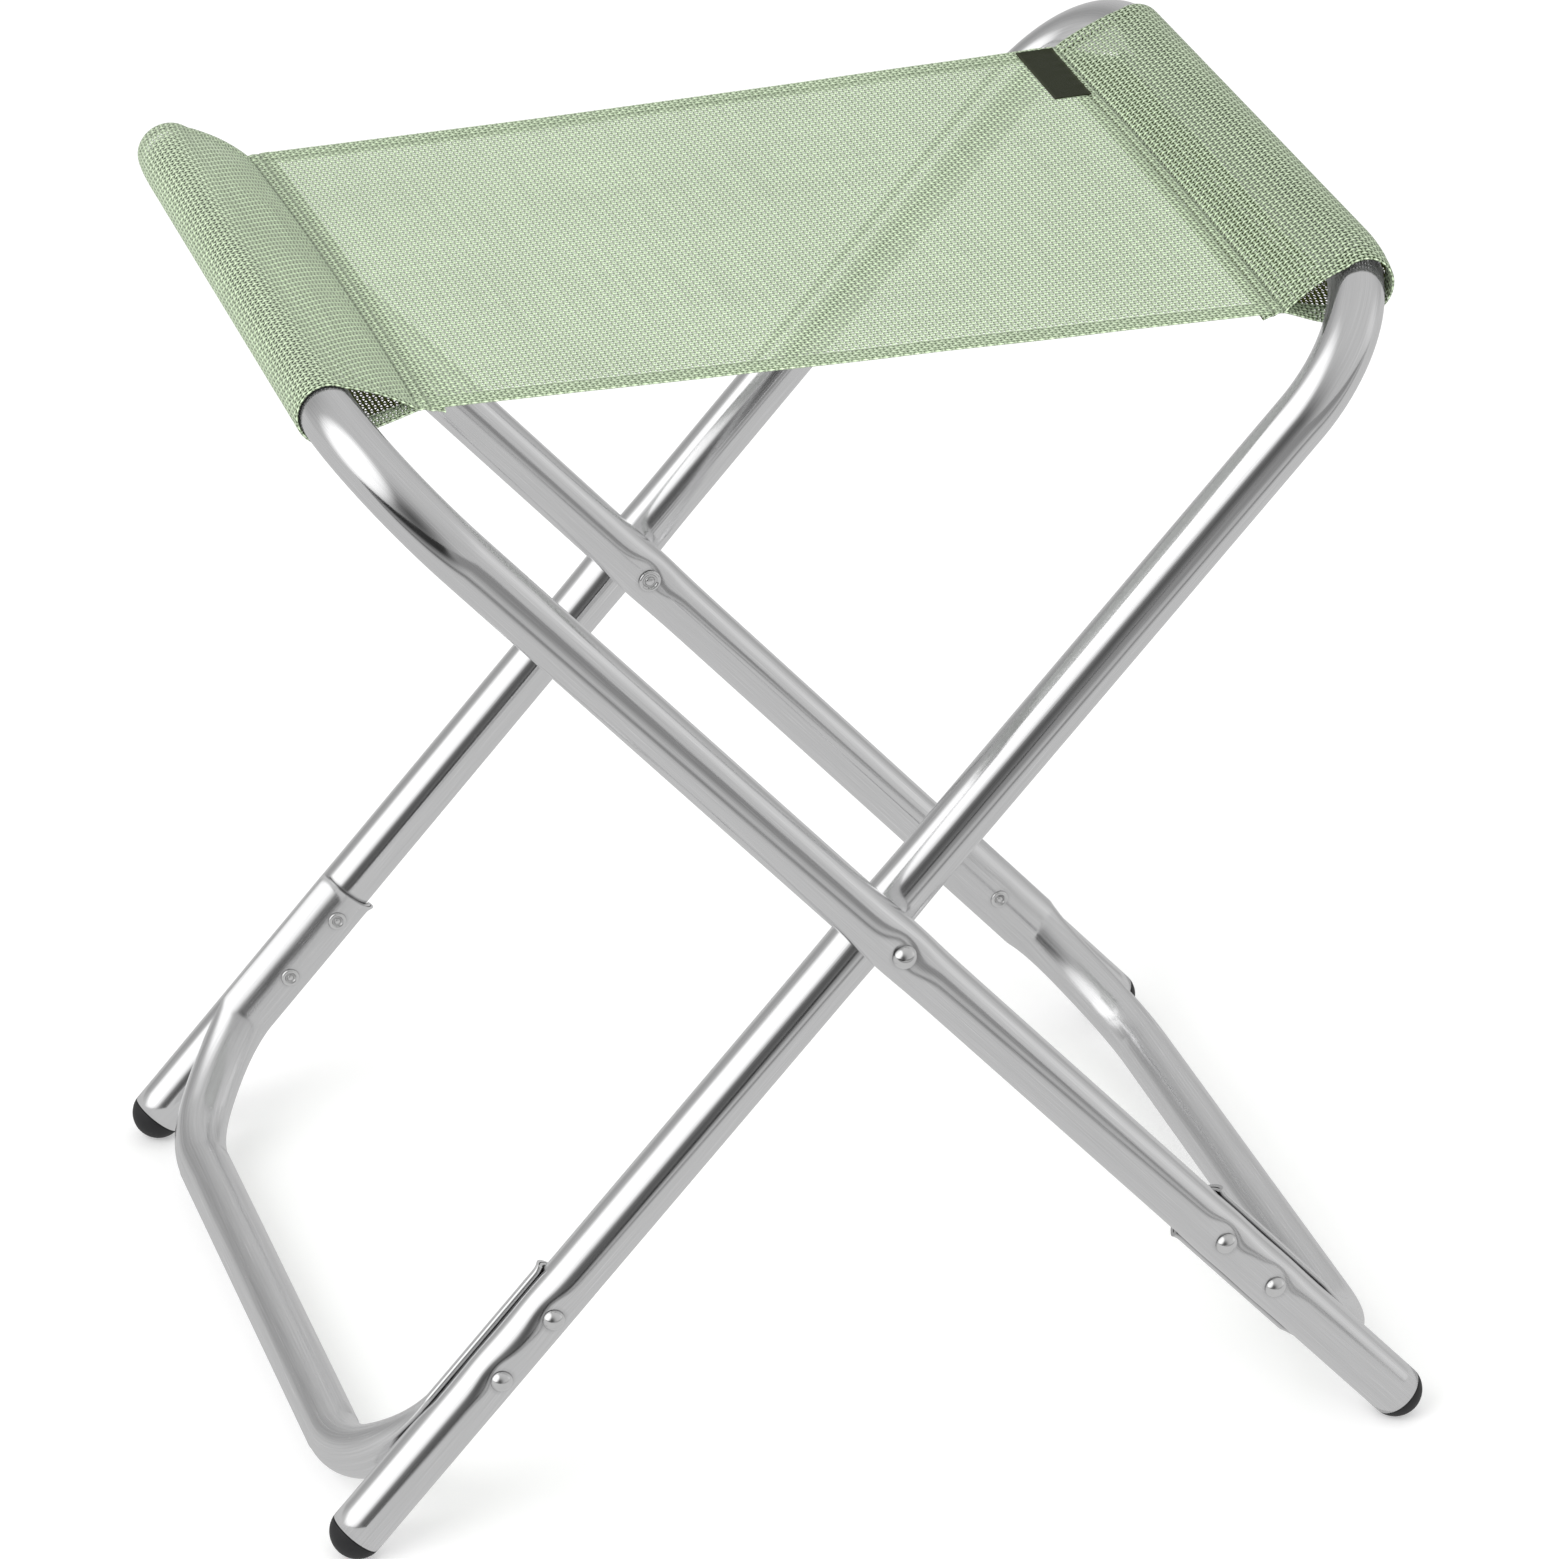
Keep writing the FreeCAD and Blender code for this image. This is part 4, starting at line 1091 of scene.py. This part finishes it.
def seam_pull(x, y):
    """Small ripples along the seams and hems."""
    near_seam = np.exp(-((np.abs(x) - SEAM) / 5.0) ** 2)
    near_hem = np.exp(-((np.abs(y) - (HALF - HEM)) / 2.2) ** 2)
    seam_wave = np.sin(y * 2 * math.pi / 7.3 + 1.3 * np.sin(y / 17.0))
    hem_wave = np.sin(x * 2 * math.pi / 8.1 + np.sin(x / 23.0))
    return 0.16 * near_seam * seam_wave + 0.10 * near_hem * hem_wave


def hem_groove(y):
    return 0.20 * np.exp(-((np.abs(y) - HEM_ROW) / 0.8) ** 2)


def stitch_dip(x, y):
    """The rows of stitches draw the cloth down in narrow grooves."""
    grooves = sum(0.38 * np.exp(-((np.abs(x) - row) / 0.75) ** 2) for row in SEAM_ROWS)
    return grooves + hem_groove(y)


def panel_z(x, y):
    slow = wave_noise(x, y, seed=11, scale=1 / 95.0) * 0.22 * np.clip(1 - (x / SEAM) ** 4, 0, 1)
    twist = 2.6 * (x / SEAM) * (y / HALF)
    return CLOTH_Z - sag(x, y) + twist + seam_pull(x, y) - stitch_dip(x, y) + slow


def warp_x(x, y):
    """Towards the seams the cloth has crept a little to the right between the hems."""
    return x + 2.0 * (x / SEAM) ** 2 * np.clip(1 - (y / HALF) ** 2, 0, 1)


def edge_bow(x):
    """The long edges bow inwards a little between the sleeves."""
    return 0.9 * from_seam(x)


# ------------------------------------------------------------------ seat cloth
def thicken(shell, middle, normals, uv, under=0):
    """A closed sheet from a grid of mid-surface points and normals. Under is the
    material slot of the underside."""
    shape = middle.shape[:2]
    top = shell.add(middle + normals * SHEET).reshape(shape)
    bottom = shell.add(middle - normals * SHEET).reshape(shape)
    shell.quads(top, uv)
    # the underside runs the other way in U so its yarns cross the right way round
    shell.quads(bottom[::-1], (uv * np.array([-1.0, 1.0]))[::-1], under)

    def rim(edge, between, flip):
        """Closes an edge through one row of vertices between the faces."""
        step = -1 if flip else 1
        index = np.stack([top[edge], between, bottom[edge]])
        shell.quads(index[::step], np.stack([uv[edge]] * 3)[::step])

    first = shell.add(middle[0])
    rim(np.s_[0], first, False)
    last = shell.add(middle[-1])
    rim(np.s_[-1], last, True)
    for column, beside, flip in ((0, 1, True), (-1, -2, False)):
        outward = middle[:, column] - middle[:, beside]
        outward /= np.linalg.norm(outward, axis=-1, keepdims=True)
        rounded = shell.add(middle[1:-1, column] + outward[1:-1] * SHEET * 0.8)
        between = np.concatenate([[first[column]], rounded, [last[column]]])
        rim(np.s_[:, column], between, flip)


def panel(side):
    """Half of the seat between a seam and the middle."""
    shell = Shell()
    across = np.concatenate([
        np.linspace(0, SEAM - 10, 46),
        np.arange(SEAM - 9.6, SEAM - 0.01, 0.4),
        [SEAM],
    ]) * side
    x, y = np.meshgrid(across, HEM_Y, indexing="ij")
    bowed_y = y * (1 - edge_bow(x) / HALF)
    z = panel_z(x, y) - HEM_BELOW
    middle = np.stack([warp_x(x, y), bowed_y, z], -1)
    # normal of the section across the depth, which turns over at the folds
    step = np.gradient(np.stack([bowed_y, z], -1), axis=1)
    normal = np.stack([-step[..., 1], step[..., 0]], -1)
    normal /= np.linalg.norm(normal, axis=-1, keepdims=True)
    normals = np.stack([np.zeros_like(x), normal[..., 0], normal[..., 1]], -1)
    uv = np.stack([x, np.broadcast_to(HEM_V, x.shape)], -1)
    # rows run from left to right on both sides
    thicken(shell, middle[::side], normals[::side], uv[::side])
    tag = SIDES[side]
    obj = shell.build("panel_cloth_" + tag, CLOTH)
    sharpen(obj, 70)
    describe(obj, "seat_panel_" + tag, "seat_" + tag)


SLEEVE_R = TUBE_R + 1.12        # mid-surface of the sleeve round the tube
# Points from the seam to the tube, over it, under it, and back to the seam
N_TO_TUBE, N_OVER, N_UNDER, N_BACK = 16, 34, 22, 14
N_SECTION = N_TO_TUBE + N_OVER + N_UNDER + N_BACK
N_LAP = 12


def sleeve_section(y, side):
    """Cross-section (x, z) of the sleeve cloth at depth y: over the tube, round it
    and back under to the seam."""
    shift = tube_shift(y, side)
    down_leg = np.array([COS * -side, -SIN])
    crossbar = np.array([CROSSBAR_X * side, CROSSBAR_Z])
    # worked mirrored so the sleeve is on the left
    mirror = np.array([-side, 1.0])
    # the upper circle follows only part of the bend, the lower one is the tube itself
    upper = (crossbar + down_leg * shift * 0.42) * mirror
    lower = (crossbar + down_leg * shift) * mirror
    seam_x, seam_z = warp_x(SEAM * side, y), panel_z(SEAM * side, y)
    seam_top = np.array([seam_x, seam_z]) * mirror
    seam_low = np.array([seam_x, seam_z - PLY]) * mirror

    def tangent_angle(point, centre, sign):
        away = point - centre
        opening = math.acos(SLEEVE_R / math.hypot(*away))
        return math.atan2(away[1], away[0]) + sign * opening

    def on_circle(centre, angle):
        return centre + SLEEVE_R * np.array([math.cos(angle), math.sin(angle)])

    leave = tangent_angle(seam_top, upper, 1)
    come_back = tangent_angle(seam_low, lower, -1)
    outward = -LEAN - math.pi / 2       # square to the leg, left and down
    while outward < leave:
        outward += 2 * math.pi
    while come_back < outward:
        come_back += 2 * math.pi
    touch = on_circle(upper, leave)
    points = [seam_top + (touch - seam_top) * (i / N_TO_TUBE) for i in range(N_TO_TUBE)]
    points += [on_circle(upper, angle) for angle in np.linspace(leave, outward, N_OVER)]
    points += [on_circle(lower, angle) for angle in np.linspace(outward, come_back, N_UNDER)]
    part = points[-1]
    points += [part + (seam_low - part) * (i / N_BACK) for i in range(1, N_BACK + 1)]
    return np.array(points) * mirror


def free_spans(top, low):
    """Values along a section on the cloth between seam and tube, 0 elsewhere."""
    values = np.zeros(N_SECTION + N_LAP)
    values[:N_TO_TUBE] = top
    values[N_SECTION - N_BACK:N_SECTION] = low
    return values


def sleeve(side):
    """The folded end of the cloth, round the crossbar and back under the panel."""
    shell = Shell()
    sections = np.array([sleeve_section(y, side) for y in HEM_Y])
    lap_x = np.linspace(SEAM, SEAM - LAP, N_LAP + 1)[1:] * side
    lap_x, lap_y = np.meshgrid(lap_x, HEM_Y)
    lap = np.stack([warp_x(lap_x, lap_y), panel_z(lap_x, lap_y) - PLY], -1)
    sections = np.concatenate([sections, lap], 1)
    shape = sections.shape[:2]
    # lengths along the middle section, used for every depth
    along = np.broadcast_to(lengths_along(sections[len(sections) // 2]), shape)
    y = np.broadcast_to(HEM_Y[:, None], shape)
    # outward normal in the section plane
    step = np.gradient(sections, axis=1)
    step /= np.linalg.norm(step, axis=-1, keepdims=True) + 1e-12
    outward = np.stack([step[..., 1], -step[..., 0]], -1) * (-side)
    # slow unevenness and slack between the seam and the tube, ripples by the seam
    arch_top, arch_low = (np.sin(np.linspace(0, math.pi, n)) for n in (N_TO_TUBE, N_BACK))
    uneven = 0.35 * wave_noise(along, y, seed=5 if side < 0 else 6, scale=1 / 60.0)
    uneven = uneven * free_spans(arch_top, arch_low)
    ripple = 0.14 * np.exp(-(along / 6.0) ** 2) * np.sin(y * 2 * math.pi / 6.7)
    slack = free_spans(1.25 * arch_top ** 0.8, 0.3 * arch_low)
    column = np.arange(shape[1])
    move = np.where(column >= N_SECTION, 0.0, uneven + ripple + slack - hem_groove(y))
    place = sections + outward * move[..., None] - outward * HEM_BELOW[:, None, None]
    # the end of the lap sticks out past the hems as a small drooping tab
    lap_share = np.clip((column - N_SECTION + 1) / N_LAP, 0, 1) ** 1.5
    tab = smoothstep((np.abs(y) - (HALF - 14)) / 14.0) * lap_share
    middle = np.stack([place[..., 0], y + np.sign(y) * 2.4 * tab, place[..., 1] - 0.9 * tab], -1)
    # normals turn over at the hem folds: a mix of section normal and depth direction
    fold = np.gradient(np.stack([HEM_Y, -HEM_BELOW], -1), axis=0)
    fold /= np.linalg.norm(fold, axis=-1, keepdims=True)
    part_out, part_y = fold[:, :1], -fold[:, 1:]
    normals = np.stack([outward[..., 0] * part_out, np.broadcast_to(part_y, shape),
                        outward[..., 1] * part_out], -1)
    uv = np.stack([side * (SEAM + along), np.broadcast_to(HEM_V[:, None], shape)], -1)
    middle, normals, uv = (np.swapaxes(grid, 0, 1)[::side] for grid in (middle, normals, uv))
    thicken(shell, middle, normals, uv, under=1)
    tag = SIDES[side]
    obj = shell.build("sleeve_cloth_" + tag, CLOTH, SLEEVE_INSIDE_SHADE)
    turn_normals_out(obj)
    sharpen(obj, 70)
    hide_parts("seat_sleeve_" + tag)
    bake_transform(obj)


for side in SIDES:
    panel(side)
    sleeve(side)


# ------------------------------------------------------------------ stitches
STITCH, STITCH_GAP, THREAD_R = 2.9, 1.0, 0.19


def stitches(name, points, carrier):
    """Thread loops along a line of points on the cloth, rising along +Z."""
    lengths = lengths_along(points)
    shell = Shell()
    start = 0.4
    turn = np.linspace(0, 2 * math.pi, 7)[:-1]
    shares = np.linspace(0, 1, 7)
    raised = np.array([0.0, 0.0, 1.0])

    def at(length):
        return np.array([np.interp(length, lengths, points[:, i]) for i in range(3)])

    while start + STITCH < lengths[-1]:
        rings = []
        for share in shares:
            place = start + share * STITCH
            centre = at(place)
            tangent = at(min(lengths[-1], place + 0.05)) - centre
            tangent /= np.linalg.norm(tangent) + 1e-12
            sideways = np.cross(tangent, raised)
            sideways /= np.linalg.norm(sideways)
            # the ends dive into the cloth and thin out
            lift = -0.42 + 0.48 * math.sin(math.pi * share) ** 0.45
            radius = THREAD_R * (0.75 + 0.25 * math.sin(math.pi * share))
            circle = np.cos(turn)[:, None] * sideways + np.sin(turn)[:, None] * raised
            rings.append(centre + raised * lift + radius * circle)
        index, uv = closed_grid(shell, rings, shares * STITCH, np.linspace(0, 1, 7))
        shell.quads(index, uv)
        for k, flip in ((0, True), (-1, False)):
            shell.fan(rings[k].mean(0), index[k][:-1], flip)
        start += STITCH + STITCH_GAP
    obj = shell.build(name, THREAD)
    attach(obj, carrier)


def panel_line(x, y, bow):
    """Points on top of the panel, drawn in towards the middle depth by bow."""
    return np.stack([warp_x(x, y), y * (1 - bow / HALF), panel_z(x, y) + SHEET], -1)


def panel_stitches(side):
    tag = SIDES[side]
    y = np.linspace(-HALF + 1.0, HALF - 1.0, 200)
    for j, row in enumerate(SEAM_ROWS):
        line = panel_line(np.full(len(y), side * row), y, bow=0.0)
        stitches("seam_stitch_%s_%d" % (tag, j + 1), line, "seat_" + tag)
    x = np.linspace(1.0, SEAM - 1.0, 160) * side
    for end, sign in (("front", -1), ("rear", 1)):
        line = panel_line(x, np.full(len(x), sign * HEM_ROW), bow=edge_bow(x))
        stitches("hem_stitch_%s_%s" % (tag, end), line, "seat_" + tag)


for side in SIDES:
    panel_stitches(side)


# ------------------------------------------------------------------ label
def label():
    """Tape laid on the right panel, over the outline of the label piece."""
    thickness = 3.4         # of the tape, in cloth sheets
    shell = Shell()
    low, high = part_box("seat_label")
    x0, x1, y0, y1 = low[0] * 1000, high[0] * 1000, low[1] * 1000, high[1] * 1000
    x, y = np.meshgrid(np.linspace(x0, x1, 13), np.linspace(y0, y1, 40), indexing="ij")
    edge_x = np.minimum(x - x0, x1 - x)
    edge_y = np.minimum(y - y0, y1 - y)
    # it bridges the stitch grooves, lifts at its ends and dips beside its long edges
    z = panel_z(x, y) + SHEET + 0.10 + stitch_dip(x, y)
    z = z + 0.16 * np.exp(-(edge_y / 1.6) ** 2) - 0.10 * np.exp(-((edge_x - 1.0) / 0.5) ** 2)
    z = z + 0.10 * wave_noise(x, y, seed=3, scale=1 / 22.0)
    middle = np.stack([x, y, z], -1)
    normals = np.zeros_like(middle)
    normals[..., 2] = thickness
    thicken(shell, middle, normals, np.stack([x - x0, y - y0], -1))
    obj = shell.build("label_tape_right", LABEL)
    sharpen(obj, 50)
    describe(obj, "seat_label", "seat_right")


label()


# ------------------------------------------------------------------ stage (metres)
def flat_square(name, half):
    mesh = bpy.data.meshes.new(name)
    corners = [(-half, -half, 0), (half, -half, 0), (half, half, 0), (-half, half, 0)]
    mesh.from_pydata(corners, [], [(0, 1, 2, 3)])
    return link_object(name, mesh)


def floor():
    obj = flat_square("floor", half=14.0)
    material, tree, shader, _ = principled("floor_white")
    feed(tree, shader, {
        "Base Color": (0.80, 0.80, 0.80, 1),
        "Emission Color": (1, 1, 1, 1),
        "Emission Strength": 0.30,
        "Roughness": 0.9,
        "Specular IOR Level": 0.0,
    })
    obj.data.materials.append(material)
    obj.visible_glossy = False


def mirror_table():
    """What the polished tubes see below them: a white table that ends in front of
    the stool. Only reflections see it."""
    obj = flat_square("table_seen_by_metal", half=6.0)
    obj.location.z = -0.002
    material, tree = empty_material("table_seen_by_metal")
    x, y, _ = split(tree, object_xyz(tree))
    # brightness taken off the white: a dark band at the front edge (y, half width),
    # the space in front of it, and more of that to the left
    edge = ((y + 0.60) / 0.075).bell() * 0.33
    beyond = (-y).ramp(start=0.55, end=1.3) * 0.30
    left = (-x).ramp(start=0.05, end=0.5) * (-y).ramp(start=0.45, end=0.8) * 0.24
    white, darkest = 0.56, 0.03
    level = (white - edge - beyond - left).max(darkest)
    glow = add_node(tree, "ShaderNodeEmission", {"Strength": level})
    add_node(tree, "ShaderNodeOutputMaterial", {0: glow.outputs[0]})
    obj.data.materials.append(material)
    for ray in ("camera", "diffuse", "transmission", "volume_scatter", "shadow"):
        setattr(obj, "visible_" + ray, False)


def area_light(name, place, size, power):
    """A soft rectangle aimed at the middle of the stool, unseen in reflections."""
    aim = Vector((0, 0, 0.25))
    light = bpy.data.lights.new(name, "AREA")
    light.shape = "RECTANGLE"
    light.size, light.size_y = size
    light.energy = power
    obj = bpy.data.objects.new(name, light)
    obj.location = place
    obj.rotation_euler = (aim - Vector(place)).to_track_quat("-Z", "Y").to_euler()
    obj.visible_glossy = False
    bpy.context.scene.collection.objects.link(obj)


floor()
mirror_table()
area_light("key_left", place=(-2.6, -1.6, 2.6), size=(2.4, 2.4), power=60)
area_light("fill_front", place=(1.2, -3.0, 1.6), size=(2.6, 2.0), power=22)

# Studio seen by polished metal: direction, sharpness, brightness added
LOBES = [
    ((-0.40, -0.90, 0.15), 6.5, -0.45),   # dark room behind the camera
    ((0.97, -0.12, 0.18), 30.0, 0.16),    # narrow strip light on the right
    ((-0.43, 0.85, 0.30), 9.0, -0.20),    # shaded back wall
    ((0.79, 0.61, 0.02), 14.0, -0.14),    # far right corner
    ((0.2, 0.3, -0.9), 2.0, 0.05),        # faint light from below
]
SOFT_BOX = (-0.822, -0.1525, 0.5176)      # large, with a definite edge, upper left


def studio_level(tree):
    """Brightness of the studio by direction."""
    mean, darkest, box_level = 0.54, 0.02, 0.74
    view = tree.nodes.new("ShaderNodeTexCoord").outputs["Generated"]

    def towards(direction):
        return dot(tree, view, Vector(direction).normalized())

    total = constant(tree, mean)
    for direction, sharpness, amount in LOBES:
        total = total + ((towards(direction) - 1.0) * sharpness).exp() * amount
    total = total + towards(SOFT_BOX).ramp(start=0.72, end=0.93) * box_level
    return total.max(darkest)


def studio_world():
    """Plain white light, the studio for reflections, pure white for the camera."""
    world = bpy.data.worlds.new("studio")
    bpy.context.scene.world = world
    world.use_nodes = True
    tree = world.node_tree
    tree.nodes.clear()
    white = (1, 1, 1, 1)

    def background(inputs):
        return add_node(tree, "ShaderNodeBackground", inputs).outputs[0]

    rays = tree.nodes.new("ShaderNodeLightPath").outputs
    light = background({"Color": white, "Strength": 0.82})
    studio = background({"Color": scale_colour(tree, (1.0, 1.0, 1.0), studio_level(tree))})
    seen = background({"Color": white, "Strength": 1.0})
    lit = add_node(tree, "ShaderNodeMixShader", {0: rays["Is Glossy Ray"], 1: light, 2: studio})
    final = add_node(tree, "ShaderNodeMixShader",
                     {0: rays["Is Camera Ray"], 1: lit.outputs[0], 2: seen})
    add_node(tree, "ShaderNodeOutputWorld", {0: final.outputs[0]})


studio_world()

# ------------------------------------------------------------------ camera
CAMERA_PLACE = (-0.7128534, -2.3285115, 1.4684227)
# Axis times angle (radians) of the turn from world axes to the view's right, down
# and forward
CAMERA_TURN = np.array([2.0303481974, -0.3087097677, 0.1858830963])


def turn_matrix(turn):
    """Rotation matrix of an axis-times-angle vector."""
    angle = float(np.linalg.norm(turn))
    x, y, z = turn / angle
    skew = np.array([[0, -z, y], [z, 0, -x], [-y, x, 0]])
    return np.eye(3) + math.sin(angle) * skew + (1 - math.cos(angle)) * (skew @ skew)


def add_camera():
    data = bpy.data.cameras.new("camera")
    data.sensor_fit = "HORIZONTAL"
    data.sensor_width = 36.0
    data.lens = 173.56
    data.shift_x, data.shift_y = 0.0019, 0.00077
    data.clip_start, data.clip_end = 0.05, 60.0
    pose = np.eye(4)
    # Blender's camera has y up and looks along -z
    pose[:3, :3] = turn_matrix(CAMERA_TURN).T @ np.diag([1.0, -1.0, -1.0])
    pose[:3, 3] = CAMERA_PLACE
    obj = bpy.data.objects.new("camera", data)
    obj.matrix_world = Matrix(pose.tolist())
    bpy.context.scene.collection.objects.link(obj)
    bpy.context.scene.camera = obj


add_camera()
bpy.context.scene.view_settings.view_transform = "Standard"
bpy.context.scene.view_settings.look = "None"
